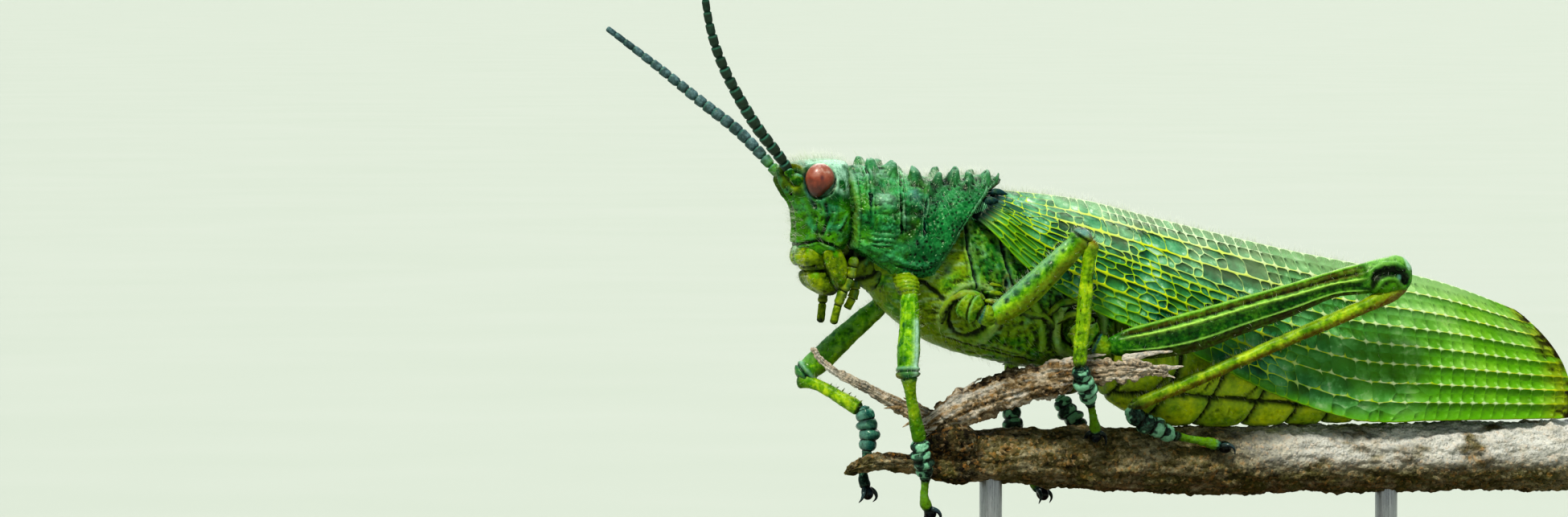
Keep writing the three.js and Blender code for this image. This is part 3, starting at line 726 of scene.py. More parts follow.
def stained_board():
    board = Finish("Stained_board", IOR=1.48, Coat_Weight=0.3, Coat_Roughness=0.18)
    along = board.stretched(0.08, 1.0, 1.0)
    wave = {"Vector": along, "Scale": 150.0, "Distortion": 7.0, "Detail": 3.0, "Detail Scale": 1.6}
    rings = board.node("ShaderNodeTexWave", wave, bands_direction="Y").outputs["Fac"]
    pores = board.speckle(0.35, 5.0, 0.7, place=along)
    value = board.plus(board.between(rings, 0.0, 0.6), board.between(pores, 0.0, 0.4, 0.3, 0.7))
    colour = board.stops(value, (0.0, ink(38, 22, 12)), (0.5, ink(72, 42, 22)), (1.0, ink(112, 70, 38)))
    return board.done(colour, board.between(pores, 0.3, 0.5, 0.3, 0.7), (value, 0.05))


def brushed_rod():
    rod = Finish("Brushed_rod", Metallic=1.0)
    lines = rod.speckle(0.06, 4.0, 0.7, place=rod.stretched(1.0, 1.0, 0.04))
    colour = rod.stops(lines, (0.3, ink(148, 150, 152)), (0.7, ink(206, 208, 210)))
    return rod.done(colour, rod.between(lines, 0.2, 0.42, 0.3, 0.7), (lines, 0.01))


# ---- Head ----

# height, front, back, half width, and how much the ring narrows towards the face
HEAD_RINGS = [
    (33.5, -36.9, -34.0, 2.6, 0.2),
    (34.3, -37.4, -32.9, 3.5, 0.22),
    (35.8, -37.5, -32.5, 3.8, 0.25),
    (37.6, -37.7, -32.4, 3.75, 0.3),
    (39.0, -38.5, -32.4, 3.5, 0.38),
    (40.3, -39.3, -32.4, 3.2, 0.42),
    (41.1, -38.9, -32.5, 2.7, 0.4),
    (41.6, -38.0, -32.7, 1.9, 0.3),
    (41.9, -36.2, -33.6, 0.9, 0.1),
]
EYE = {"at": (-36.05, 2.75, 40.1), "long": 1.32, "deep": 1.05, "high": 1.5}


def head_ring(along, across, above):
    z, front, back, half, pinch = flow(HEAD_RINGS, along).T
    narrowed = 1 - pinch * np.maximum(above, 0)
    x = (front + back) / 2 - above * (back - front) / 2
    return np.stack([x, across * narrowed * half, z], axis=1)


def make_head(finish):
    head = draw_tube("head", 36, 18, 3, head_ring)
    clay = Clay(head)
    face = ramp(-clay.points[:, 0], 36.4, 37.4)
    # Broad forms: the brow ridge over its hollow, the face's keels and the cheek.
    clay.line([(-38.9, 0.3, 41.2), (-38.0, 1.0, 41.5), (-37.4, 1.7, 41.1), (-37.15, 2.1, 40.6)], 0.2, 0.3,
              rust=0.45, yellow=0.4)
    clay.line([(-38.6, 0.9, 40.75), (-37.9, 1.6, 40.8), (-37.4, 2.0, 40.4)], 0.2, -0.5, night=0.9)
    clay.line([(-39.2, 0.62, 40.2), (-38.3, 0.6, 38.8), (-37.8, 0.65, 37.0), (-37.5, 0.8, 34.7)], 0.2, 0.22)
    clay.line([(-39.3, 0.0, 40.2), (-38.3, 0.0, 38.8), (-37.8, 0.0, 37.0), (-37.5, 0.0, 34.7)], 0.3, -0.25,
              night=0.2)
    clay.line([(-37.35, 2.3, 38.0), (-36.9, 2.6, 36.6), (-36.8, 2.6, 34.9)], 0.2, 0.16, bright=0.3)
    clay.spot((-38.0, 1.7, 40.1), 0.55, -0.3, night=0.3)
    clay.spot((-38.0, 1.65, 39.35), 0.4, 0.28, yellow=0.9)
    clay.spot((-38.1, 1.0, 38.85), 0.15, -0.22, night=1.0, hard=4)
    clay.spot((-34.2, 3.4, 36.4), (1.6, 9, 1.8), 0.2)
    # Round the eye: a low rim, and a crease at its lower rear.
    eye_away = np.linalg.norm((clay.fold - EYE["at"]) / (1.42, 1.5, 1.6), axis=1)
    behind_low = ramp(clay.fold[:, 0] - (clay.fold[:, 2] - 39.6) * 0.9, -36.6, -35.4)
    clay.lift += 0.12 * bell(eye_away - 1.12, 0.12) - 0.5 * np.exp(-((eye_away / 0.94) ** 6))
    clay.tint(bell(eye_away - 0.99, 0.06) * (0.3 + 0.6 * behind_low), night=0.9)
    # Furrows down the cheek.
    clay.line([(-37.3, 2.3, 40.6), (-37.2, 2.35, 39.4), (-36.9, 2.5, 38.4), (-36.6, 2.7, 37.8)], 0.2, -0.2,
              blue=0.6, frost=0.2)
    clay.line([(-36.5, 3.0, 38.3), (-36.35, 3.1, 36.8), (-36.3, 3.1, 35.2)], 0.1, -0.14, 0.1, night=0.2)
    clay.line([(-35.7, 3.3, 38.0), (-35.6, 3.5, 36.9), (-36.0, 3.3, 35.4)], 0.16, -0.16, 0.05, night=0.25)
    clay.line([(-32.9, 3.5, 37.7), (-33.6, 3.6, 37.3), (-34.3, 3.7, 36.7), (-34.7, 3.7, 36.0)], 0.2, 0.2,
              bright=0.5)
    clay.line([(-33.2, 3.5, 37.1), (-34.0, 3.7, 36.6), (-34.5, 3.7, 35.8)], 0.16, -0.18, night=0.35)
    clay.line([(-34.9, 3.7, 37.2), (-35.3, 3.6, 36.2), (-35.9, 3.4, 35.4)], 0.16, 0.12, bright=0.3)
    clay.line([(-37.5, 1.9, 38.3), (-37.1, 2.2, 37.4), (-36.9, 2.4, 36.6)], 0.24, 0.1, blue=0.18, bright=0.5)
    clay.line([(-37.0, 2.1, 36.4), (-36.6, 2.6, 35.9)], 0.28, 0.08, bright=0.55)
    # The seam above the mouth and the cheek's lower edge.
    seam = [(-37.5, 0.0, 34.35), (-36.9, 1.7, 34.65), (-36.1, 2.9, 34.9), (-35.3, 3.4, 34.5),
            (-34.0, 3.4, 33.9)]
    clay.line(seam, 0.13, -0.4, 0.12, night=1.0)
    clay.line([(x, y, z + 0.45) for x, y, z in seam], 0.2, 0.12, rust=0.12, lime=0.3)
    clay.press()
    crown = ramp(clay.points[:, 2], 38.3, 39.6) * ramp(clay.points[:, 0], -37.2, -36.2)
    low = ramp(clay.points[:, 2], 39.0, 37.0)
    slant = np.stack([clay.points[:, 0] + 0.5 * clay.points[:, 2], clay.points[:, 1], clay.points[:, 2]],
                     axis=1)
    clay.lift += 0.045 * ripple(slant, (0.9, 0.7, 0.36), 3, 3) * (0.2 + low)
    clay.crinkle((1.1, 1.1, 0.9), 0.045, 4, low)
    clay.rough(0.4, 0.025, 6, octaves=2)
    clay.pits(0.6, 0.05, 5, 1 - 0.6 * face, 0.3, night=0.2)
    clay.pits(0.9, 0.05, 7, low, 0.2, night=0.6)
    clay.rough(0.16, 0.016, 8, octaves=2)
    blotch = ripple(clay.points, 0.8, 9, 2)
    # Painted sheen: pale patches over the crown, and a pale teal top where it faces up.
    clay.fleck(0.9, 10, -0.5, 0.5, crown, octaves=2, frost=0.7, bright=0.3)
    clay.tint(ramp(clay.out[:, 2], 0.35, 0.9) * ramp(clay.points[:, 2], 40.8, 41.7), frost=0.5, teal=0.3)
    clay.tint(ramp(clay.points[:, 2], 37.4, 39.2) * (1 - face), teal=0.4)
    clay.tint(ramp(blotch, 0.15, 0.7) * (1 - crown), bright=0.24, blue=0.12)
    clay.tint(ramp(-blotch, 0.1, 0.6) * (1 - crown), night=0.3)
    clay.fleck(1.1, 8, -0.5, 0.3, low, lime=0.7)
    clay.tint(face * ramp(clay.points[:, 2], 39.4, 38), lime=0.8, night=0.12)
    clay.tint(ramp(-clay.points[:, 0], 37.0, 37.6) * ramp(clay.points[:, 2], 38.6, 39.6), yellow=0.3)
    clay.line([(-33.0, 2.4, 41.2), (-32.7, 3.2, 40.0), (-32.6, 3.7, 37.6), (-32.8, 3.7, 35.4)], 0.3, -0.15,
              night=0.6)
    clay.done(0.035, 0.1, shine=0.14)
    finished(head, finish["head"], "head", slot="body_shell")


def make_throat(finish):
    """The folded soft skin between the head, the saddle and the front hips."""
    path = [(-33.9, 0, 35.2), (-33.0, 0, 34.0), (-31.4, 0, 32.9), (-29.4, 0, 31.6), (-27.0, 0, 30.6)]
    throat = limb("throat", path, [(0, 1.4), (0.3, 1.45), (0.6, 1.7), (1, 2.0)],
                  flat=[(0, 1.4), (0.5, 1.45), (1, 1.4)], sides=28, rings=26, levels=2, up=(1, 0, 1),
                  blunt=0.1)
    clay = Clay(throat)
    for share in (0.18, 0.34, 0.5, 0.66, 0.82):
        wavy = clay.along - share - 0.03 * np.sin(clay.turn * 3 + share * 20)
        clay.lift += 0.12 * bell(wavy - 0.05, 0.045) - 0.16 * bell(wavy, 0.025)
        clay.tint(bell(wavy, 0.03), night=0.7)
    clay.fleck(1.0, 35, -0.2, 0.6, yellow=0.9)
    clay.fleck(0.8, 36, 0.3, 0.8, bright=0.4)
    clay.fleck(1.3, 38, 0.0, 0.6, night=0.75)
    clay.press()
    clay.rough(0.4, 0.05, 37)
    clay.done()
    finished(throat, finish["throat"], slot="body_shell")


def make_eyes(finish):
    for word, side in SIDES.items():
        deselect()
        bpy.ops.mesh.primitive_uv_sphere_add(segments=32, ring_count=20, radius=1)
        eye = named(f"eye_{word}")
        subdivide(eye, 1)
        ball = unit(grab(eye) * MM)
        taper = 1 - 0.36 * ramp(-ball[:, 2], -0.1, 1.0)
        shape = np.stack([
            ball[:, 0] * EYE["long"] * taper - 0.34 * ramp(-ball[:, 2], 0.0, 1.0),
            ball[:, 1] * EYE["deep"],
            ball[:, 2] * EYE["high"],
        ], axis=1)
        x, y, z = EYE["at"]
        put(eye, shape + (x, side * y, z))
        pupil = np.linalg.norm((ball - (-0.12, side * 0.97, 0.15)) / (1.0, 1.0, 1.25), axis=1)
        remember(eye, height=(ball[:, 2] + 1) / 2, pupil=0.85 * np.exp(-((pupil / 0.13) ** 4)))
        face_out(eye)
        finished(eye, finish["eye"], f"eye_{word}", slot="eye")


PLATE_SQUARE = 0.62


def boxed(cosine, power):
    """Turns a round section squarer, the more the smaller the power."""
    return np.sign(cosine) * np.abs(cosine) ** power


def plate(name, stations):
    """A plump mouth plate: stations give (front, middle of the height, half width, half depth)."""
    def ring(along, across, above):
        x, z, wide, deep = flow(stations, along).T
        end = blunted(along, 0.16, 0.75)
        y = boxed(across, PLATE_SQUARE) * wide * end
        return np.stack([x - boxed(above, PLATE_SQUARE) * deep * end, y, z], axis=1)
    return draw_tube(name, 20, 12, 3, ring)


def make_mouth(finish):
    clypeus = plate("clypeus", [(-35.6, 34.5, 2.2, 1.7), (-35.6, 33.9, 2.35, 1.8), (-35.6, 33.2, 2.35, 1.85),
                                (-35.4, 32.6, 2.15, 1.7), (-35.2, 32.0, 1.7, 1.4)])
    clay = Clay(clypeus)
    clay.line([(-37.3, 0.2, 32.5), (-36.8, 1.2, 32.3), (-36.2, 1.9, 32.5)], 0.25, -0.2, night=0.5)
    clay.spot((-36.5, 1.75, 33.3), (0.6, 0.7, 0.5), 0.28, yellow=0.7)
    clay.line([(-36.9, 1.1, 34.0), (-36.9, 1.1, 33.3), (-36.6, 1.5, 32.8)], 0.18, -0.24, night=0.35)
    clay.line([(-36.5, 1.7, 33.9), (-36.2, 2.1, 33.5)], 0.14, -0.16, night=0.3)
    clay.spot((-37.4, 0.2, 34.2), 0.5, 0.12, frost=0.7)
    clay.spot((-37.3, 0.5, 33.2), 0.6, 0.16, lime=0.4)
    clay.press()
    clay.rough(0.5, 0.035, 21)
    clay.fleck(0.7, 22, 0.1, 0.8, lime=0.7)
    clay.fleck(0.55, 28, 0.35, 0.7, night=0.4)
    clay.tint(ramp(-clay.points[:, 2], -32.7, -32.0), night=0.35)
    dark_border(clay, (-0.8, 0.5, 0.1))
    clay.done()
    finished(clypeus, finish["mouth"], "clypeus", slot="belly_shell")

    labrum = plate("labrum", [(-35.2, 32.2, 1.7, 1.25), (-35.2, 31.8, 1.95, 1.4), (-35.0, 31.2, 2.0, 1.4),
                              (-34.7, 30.6, 1.8, 1.15), (-34.4, 29.9, 1.1, 0.6)])
    clay = Clay(labrum)
    cleft = [(-36.5, -0.55, 32.0), (-36.2, -0.6, 31.4), (-35.6, -0.1, 30.6), (-35.3, 0.15, 30.0)]
    away, share = from_line(clay.points, cleft)
    cut = bell(away, 0.14) * ramp(1 - share, 0.1, 0.55)
    clay.lift -= 0.42 * cut
    clay.tint(cut, night=0.9)
    clay.spot((-36.1, 1.1, 31.4), (0.7, 0.7, 0.9), 0.18)
    clay.tint(ramp(-clay.points[:, 2], -30.7, -30.0), rust=0.25)
    clay.press()
    clay.rough(0.45, 0.03, 23)
    clay.lift -= 0.03 * ramp(pebbles(clay.points, 0.35, 24), 0.3, 0.05)
    clay.fleck(0.6, 29, 0.2, 0.7, lime=0.5)
    dark_border(clay, (-0.8, 0.5, 0.1))
    clay.done()
    finished(labrum, finish["mouth"], "labrum", slot="belly_shell")

    for word, side in SIDES.items():
        jaw_path = [(-35.0, 2.5, 34.5), (-34.9, 2.75, 33.6), (-34.5, 2.6, 32.6), (-34.1, 2.1, 31.4),
                    (-33.8, 1.4, 30.5)]
        jaw = limb(f"mandible_{word}", folded(side, jaw_path), [(0, 0.8), (0.3, 1.1), (0.6, 1.0), (1, 0.5)],
                   flat=0.9, up=(0, 1, 0), levels=3, blunt=0.2)
        clay = Clay(jaw)
        clay.line([(-35.0, 3.6, 34.0), (-34.6, 3.6, 32.8), (-34.3, 3.1, 31.6)], 0.16, -0.16, lime=0.6,
                  night=0.25)
        clay.line([(-34.3, 3.5, 33.8), (-34.0, 3.4, 32.6), (-33.9, 2.8, 31.4)], 0.2, 0.12, yellow=0.5)
        clay.spot((-33.9, 2.6, 30.6), 0.7, 0.0, night=0.55)
        clay.press()
        out_side = np.abs(clay.points[:, 1])
        clay.points[:, 1] = side * (out_side - 0.6 * np.maximum(out_side - 3.1, 0))
        put(clay.obj, clay.points)
        clay.look()
        clay.fleck(0.6, 30, 0.1, 0.7, lime=0.6)
        dark_border(clay, (-0.25, 1.0, 0.1), 0.5, 0.1, 0.85)
        clay.rough(0.45, 0.03, 25)
        clay.done()
        finished(jaw, finish["mouth"], f"mandible_{word}", slot="belly_shell")


MAXILLARY_PALP = [(-32.9, 2.9, 33.4), (-33.1, 2.8, 32.2), (-33.4, 2.6, 31.2), (-33.9, 2.2, 30.0),
                  (-34.4, 1.6, 27.5)]
LABIAL_PALP = [(-32.3, 1.4, 31.3), (-32.4, 1.4, 30.1), (-33.0, 1.2, 28.8)]
PALP_JOINTS = {"maxillary": (0.14, 0.3, 0.5, 0.72), "labial": (0.3, 0.62)}


def make_palps(finish):
    paths = {"maxillary": MAXILLARY_PALP, "labial": LABIAL_PALP}
    for word, side in SIDES.items():
        for kind, path in paths.items():
            name = f"palp_{kind}_{word}"
            palp = limb(name, folded(side, path), [(0, 0.44), (0.5, 0.44), (0.85, 0.36), (1, 0.38)], sides=14,
                        rings=36, levels=2, up=(1, 0, 0.2), blunt=0.05)
            clay = Clay(palp)
            for joint in PALP_JOINTS[kind]:
                clay.lift += 0.06 * bell(clay.along - joint + 0.05, 0.03) - 0.1 * clay.ring(joint, 0.014)
                clay.tint(clay.ring(joint, 0.01), night=0.8)
                clay.tint(bell(clay.along - joint + 0.03, 0.02), rust=0.3)
            inner = bell(half_turn_from(clay.turn, 0.0 if side > 0 else math.pi), 0.5)
            clay.tint(inner * ramp(clay.along, 0.75, 0.6), blue=0.3)
            clay.tint(ramp(clay.along, 0.92, 0.98), night=0.85)
            clay.fleck(0.5, 26, 0.1, 0.7, octaves=2, night=0.2, lime=0.3)
            clay.rough(0.3, 0.02, 27)
            clay.done()
            finished(palp, finish["mouth"], name, slot="belly_shell")


ANTENNA = {
    "left": [(-38.3, -1.0, 40.9), (-39.3, -1.5, 42.1), (-41.5, -2.0, 44.6), (-43.5, -2.5, 47.4),
             (-45.2, -3.0, 50.3), (-46.3, -3.3, 53.1), (-46.9, -3.5, 55.8), (-47.3, -3.5, 58.9)],
    "right": [(-38.5, 1.0, 40.5), (-39.9, 2.0, 42.4), (-41.6, 3.5, 44.5), (-44.3, 5.5, 47.0),
              (-47.3, 7.5, 49.8), (-51.3, 10.0, 53.3)],
}
ANTENNA_SEGMENTS = 20
SOCKET = {"left": (-37.95, -1.65, 40.1), "right": (-37.95, 1.65, 40.1)}


def make_antennae(finish):
    for word, path in ANTENNA.items():
        whip = limb(f"antenna_{word}", path, [(0, 0.44), (0.25, 0.5), (0.6, 0.42), (1, 0.25)], sides=14,
                    rings=ANTENNA_SEGMENTS * 5 + 1, levels=1, up=(1, 0, 0), blunt=0.008)
        clay = Clay(whip)
        beat = clay.along * ANTENNA_SEGMENTS
        phase = beat - np.floor(beat)
        fade = ramp(1 - clay.along, 0.02, 0.5)
        swelling = 0.05 * phase - 0.11 * bell(phase - 0.02, 0.12) - 0.06 * bell(phase - 1.0, 0.06)
        clay.lift += swelling * (0.35 + fade)
        ring = bell(phase - 0.96, 0.06) + bell(phase + 0.02, 0.05)
        clay.tint(ring * (0.35 + 0.65 * fade), bright=0.4, blue=0.4)
        if word == "right":
            clay.tint(ramp(clay.along, 0.13, 0.02), lime=0.9)
            clay.tint(ramp(np.sin(clay.turn), -0.2, -0.9), night=0.25)
        clay.rough(0.25, 0.012, 31)
        clay.done()
        finished(whip, finish[f"feeler_{word}"], f"antenna_{word}", slot="dark_horn")
        make_scape(word, finish)


def make_scape(word, finish):
    """The two rounded joints at the antenna's root."""
    side = SIDES[word]
    x, y, z = SOCKET[word]
    root = limb(f"scape_{word}", [(x + 0.75, y * 1.1, z - 0.05), (x + 0.1, y, z + 0.05),
                                  (x - 0.35, y * 0.86, z + 0.55), (x - 0.55, y * 0.75, z + 0.95)],
                [(0, 0.46), (0.25, 0.54), (0.5, 0.5), (0.62, 0.38), (0.8, 0.46), (1, 0.4)], up=(0, 0, 1),
                levels=2, blunt=0.12)
    clay = Clay(root)
    clay.tint(clay.ring(0.62, 0.05), night=0.5)
    # Painted highlight on the side that faces up.
    clay.tint(ramp(clay.out[:, 2], 0.4, 0.95), bright=0.5, frost=0.2)
    clay.tint(ramp(clay.along, 0.9, 0.98), blue=0.8)
    clay.fleck(0.5, 32, -0.4, 0.4, lime=0.6, rust=0.25)
    clay.rough(0.35, 0.05, 33 + side)
    clay.rough(0.16, 0.02, 34)
    clay.done()
    finished(root, finish["head"], slot="body_shell")


# ---- Saddle plate behind the head ----

SADDLE = {"front": -33.1, "tip": -16.0, "back": 40.3, "fall": 8.7, "rake": 10.3}
# share of the length, top, lowest edge, half width
SADDLE_RINGS = [
    (0.0, 41.0, 34.1, 4.15),
    (0.17, 41.2, 33.4, 4.6),
    (0.34, 40.5, 32.6, 4.95),
    (0.52, 40.2, 31.8, 5.3),
    (0.75, 40.4, 31.4, 5.7),
    (1.0, 40.1, 31.6, 5.85),
]
SADDLE_PINCH, SADDLE_SQUARE = 0.14, 0.15
# x, distance from the middle, height of the tip, radius of the foot, lean to the rear
TUBERCLES = [
    (-32.4, 1.2, 41.6, 0.42, 0.0),
    (-30.8, 1.5, 42.2, 0.5, -0.15),
    (-29.3, 1.8, 42.0, 0.66, 0.45),
    (-26.9, 2.2, 41.4, 0.58, -0.2),
    (-25.1, 2.6, 40.9, 0.4, 0.3),
    (-23.6, 2.5, 41.4, 0.55, 0.35),
    (-21.9, 2.3, 40.9, 0.42, -0.1),
    (-20.4, 2.0, 41.1, 0.48, 0.35),
    (-18.8, 1.5, 40.7, 0.34, 0.1),
    (-17.4, 0.8, 40.7, 0.32, 0.15),
    (-31.4, 2.9, 41.0, 0.32, 0.0),
    (-22.6, 3.4, 40.3, 0.28, 0.2),
    (-26.0, 3.5, 40.2, 0.28, 0.1),
    (-20.9, 3.1, 40.1, 0.26, 0.15),
]
SADDLE_SEAMS = (
    ([(-31.2, 0.0, 41.3), (-31.4, 2.4, 40.4), (-31.8, 4.0, 38.6), (-31.95, 4.6, 37.2), (-31.75, 4.7, 35.8)],
     0.12, 0.2, {"blue": 0.6}),
    ([(-28.0, 0.0, 40.6), (-28.3, 2.2, 40.2), (-28.8, 3.6, 39.2), (-29.25, 4.9, 37.2), (-29.35, 5.2, 34.9)],
     0.11, 0.34, {"night": 0.7}),
    ([(-25.6, 0.0, 40.4), (-26.0, 2.6, 39.8), (-26.5, 4.0, 38.7), (-27.25, 5.3, 36.9), (-27.4, 5.6, 34.6)],
     0.1, 0.24, {"blue": 0.55}),
)


def saddle_ring(along, across, above):
    share, top, low, half = flow(SADDLE_RINGS, along).T
    share = np.interp(along, np.linspace(0, 1, len(SADDLE_RINGS)), [ring[0] for ring in SADDLE_RINGS])
    across = np.where(above < 0, boxed(across, SADDLE_SQUARE), across)
    y = across * (1 - SADDLE_PINCH * np.maximum(above, 0)) * half
    z = (top + low) / 2 + above * (top - low) / 2
    x = mix(SADDLE["front"], SADDLE["tip"], share)
    rake = SADDLE["rake"] * np.clip((SADDLE["back"] - z) / SADDLE["fall"], 0, 1) ** 0.45
    return np.stack([x - rake * share, y, z], axis=1)


def make_saddle(finish):
    saddle = draw_tube("pronotum", 44, 26, 3, saddle_ring)
    clay = Clay(saddle)
    rear = ramp(clay.along, 0.6, 0.66)
    flank = ramp(clay.fold[:, 1], 2.4, 3.6)
    for path, width, depth, colours in SADDLE_SEAMS:
        clay.line(path, width, -depth, 0.14, fade=0.12, **colours)
    # Swellings and hollows between the seams.
    clay.spot((-30.5, 4.4, 38.4), (0.9, 2, 0.5), 0.3, frost=0.55)
    clay.spot((-30.3, 3.4, 39.6), (0.7, 2, 0.5), -0.3, night=0.2)
    clay.spot((-30.6, 4.8, 37.3), (0.7, 2, 0.35), -0.18)
    clay.spot((-27.6, 4.2, 38.7), (0.55, 2, 0.6), 0.26, blue=0.5, frost=0.2)
    clay.spot((-28.3, 5.1, 37.5), (0.75, 2, 0.4), -0.2, night=0.25)
    clay.line([(-29.1, 5.0, 36.72), (-28.3, 5.3, 36.85), (-27.4, 5.4, 36.95)], 0.16, 0.26, frost=0.35,
              bright=0.7)
    clay.spot((-28.3, 5.3, 35.9), (0.75, 2, 0.6), -0.16, night=0.3)
    clay.spot((-28.2, 5.4, 34.6), (0.8, 2, 0.5), 0.12, bright=0.3)
    clay.spot((-31.1, 4.2, 35.0), (0.9, 2, 0.4), 0.12, bright=0.3)
    clay.spot((-32.3, 4.2, 37.6), (0.35, 2, 1.4), 0.16)
    for height in (35.4, 34.95, 34.5, 34.05):
        clay.line([(-32.4, 4.2, height + 0.1), (-31.0, 4.6, height), (-29.6, 5.0, height - 0.15)], 0.1,
                  0.14, fade=0.3, bright=0.35)
    # The rolled lower edge: a welt along a dark groove.
    fold_line = [(-32.6, 4.1, 34.6), (-31.4, 4.6, 34.0), (-30.2, 4.9, 33.3), (-28.8, 5.2, 32.8),
                 (-27.2, 5.6, 32.6), (-26.2, 5.8, 33.2)]
    clay.line(fold_line, 0.24, 0.3, bright=0.5)
    groove = [(-32.4, 4.0, 34.05), (-31.0, 4.4, 33.2), (-29.6, 4.9, 32.5), (-28.2, 5.2, 32.15),
              (-27.0, 5.5, 32.2)]
    clay.line(groove, 0.12, -0.36, night=0.9)
    clay.line([(x, y, z - 0.34) for x, y, z in groove], 0.16, 0.26, bright=0.5)
    # Front collar and the thin rim along the rear edge.
    clay.lift += 0.2 * clay.ring(0.012, 0.018) + 0.12 * clay.ring(0.985, 0.01)
    clay.tint(clay.ring(0.012, 0.012), rust=0.35, lime=0.3)
    clay.tint(clay.ring(0.04, 0.008), night=0.5)
    clay.tint(ramp(clay.along, 0.982, 0.99), rust=0.8, night=0.3)
    clay.lift -= 0.12 * clay.ring(0.966, 0.01)
    clay.press()
    # Grains and pits cover the rear half; beads and wavy wrinkles the front.
    clay.beads(0.3, 0.055, 41, rear)
    clay.rough(0.5, 0.05, 40, rear, octaves=2)
    clay.pits(0.44, 0.09, 43, rear, 0.4, night=0.6)
    clay.pits(0.9, 0.1, 39, rear, 0.3, night=0.5)
    clay.rough(1.2, 0.1, 44, rear, octaves=2)
    bead_patch = np.exp(-((np.linalg.norm((clay.fold - (-30.2, 4.8, 36.2)) / (1.1, 3, 0.75), axis=1)) ** 4))
    clay.beads(0.34, 0.15, 46, bead_patch, bright=0.3)
    clay.lift += 0.06 * ripple(clay.points, (0.9, 0.9, 0.34), 45, 3) * (1 - rear) * flank * (1 - bead_patch)
    clay.crinkle((1.2, 1.2, 0.8), 0.1, 47, (1 - rear) * (1 - bead_patch))
    clay.rough(0.36, 0.04, 48, 1 - rear, octaves=2)
    clay.rough(0.17, 0.018, 49, octaves=2)
    clay.press()
    raise_tubercles(clay)
    top = ramp(clay.out[:, 2], 0.2, 0.8)
    crest = ripple(clay.points, 0.9, 42, 2)
    clay.tint(ramp(crest, 0.2, 0.8) * (1 - rear), bright=0.35)
    clay.tint(ramp(-crest, 0.0, 0.7) * (1 - rear), lime=0.3)
    # Painted sheen on the high parts that face up.
    clay.tint(top * ramp(clay.points[:, 2], 39.6, 40.8) * (1 - 0.5 * rear), frost=0.3, bright=0.2)
    clay.tint(ramp(clay.points[:, 2], 36.5, 33.5) * (1 - rear), lime=0.25)
    clay.tint(rear, teal=0.5)
    # Painted shade: the closed rear end, where it faces backwards, goes black, standing for the inside of the
    # saddle's open back.
    hollow = ramp(clay.along, 0.995, 0.9999) * ramp(clay.out[:, 0], 0.5, 0.9)
    clay.tint(hollow, night=1.0)
    clay.fleck(2.2, 62, 0.0, 0.8, night=0.35)
    clay.fleck(1.4, 64, 0.2, 0.8, 1 - rear, lime=0.4)
    clay.done(0.045, 0.12, shine=0.22)
    finished(saddle, finish["saddle"], "pronotum", slot="body_shell")


def raise_tubercles(clay):
    """Draws the blunt warts up out of the saddle's back to their own heights."""
    facing = ramp(clay.out[:, 2], -0.05, 0.3)
    base = clay.points.copy()
    for x, y, tip, foot, lean in TUBERCLES:
        away = np.hypot(base[:, 0] - x, np.abs(base[:, 1]) - y)
        core = np.exp(-((away / foot) ** 4)) * facing
        ground = base[core > 0.4, 2]
        peak = ground.max() if len(ground) else tip - 0.6
        rise = max(tip - peak, 0.5)
        skirt = np.exp(-((away / (foot * 1.7)) ** 2)) * facing
        clay.points[:, 2] += (rise - 0.22) * core + 0.22 * skirt
        clay.points[:, 0] += lean * core * 0.8
        clay.tint(ramp(core, 0.35, 0.8), teal=0.8, night=0.25)
        clay.tint(skirt * (1 - core), lime=0.35, frost=0.12)
    high = ramp(clay.points[:, 2], 40.4, 41.0)[:, None]
    knobbly = np.stack([ripple(clay.points, 0.5, 65 + n, 2) for n in range(3)], axis=1)
    clay.points += 0.07 * high * knobbly
    put(clay.obj, clay.points)
    clay.look()


# ---- Thorax ----

# x, top, bottom, half width
THORAX_RINGS = [
    (-31.2, 38.0, 31.4, 2.4),
    (-29.2, 38.8, 28.7, 3.6),
    (-26.2, 39.0, 26.4, 4.5),
    (-23.0, 38.9, 25.0, 5.1),
    (-19.0, 38.6, 24.0, 5.3),
    (-15.0, 37.9, 23.2, 5.25),
    (-11.5, 37.0, 22.4, 4.9),
    (-8.6, 36.0, 21.4, 4.4),
]
TRUNK_PINCH = 0.12
THORAX_SEAMS = (
    [(-23.4, 2.6, 38.0), (-22.9, 3.6, 36.4), (-23.0, 4.7, 34.0), (-22.6, 5.1, 31.9), (-22.3, 5.1, 30.6)],
    [(-20.4, 3.0, 37.2), (-19.9, 4.0, 35.7), (-19.7, 5.0, 33.3), (-19.2, 5.3, 31.5), (-18.9, 5.2, 30.4)],
    [(-16.9, 3.6, 36.4), (-16.2, 4.6, 34.4), (-15.0, 5.2, 31.6), (-13.9, 5.1, 29.6)],
)
HIP_SOCKETS = (((-22.6, 28.2), 2.5), ((-12.4, 27.0), 2.3))


def trunk_ring(rings):
    def place(along, across, above):
        x, top, bottom, half = flow(rings, along).T
        y = across * (1 - TRUNK_PINCH * np.maximum(above, 0)) * half
        return np.stack([x, y, (top + bottom) / 2 + above * (top - bottom) / 2], axis=1)
    return place


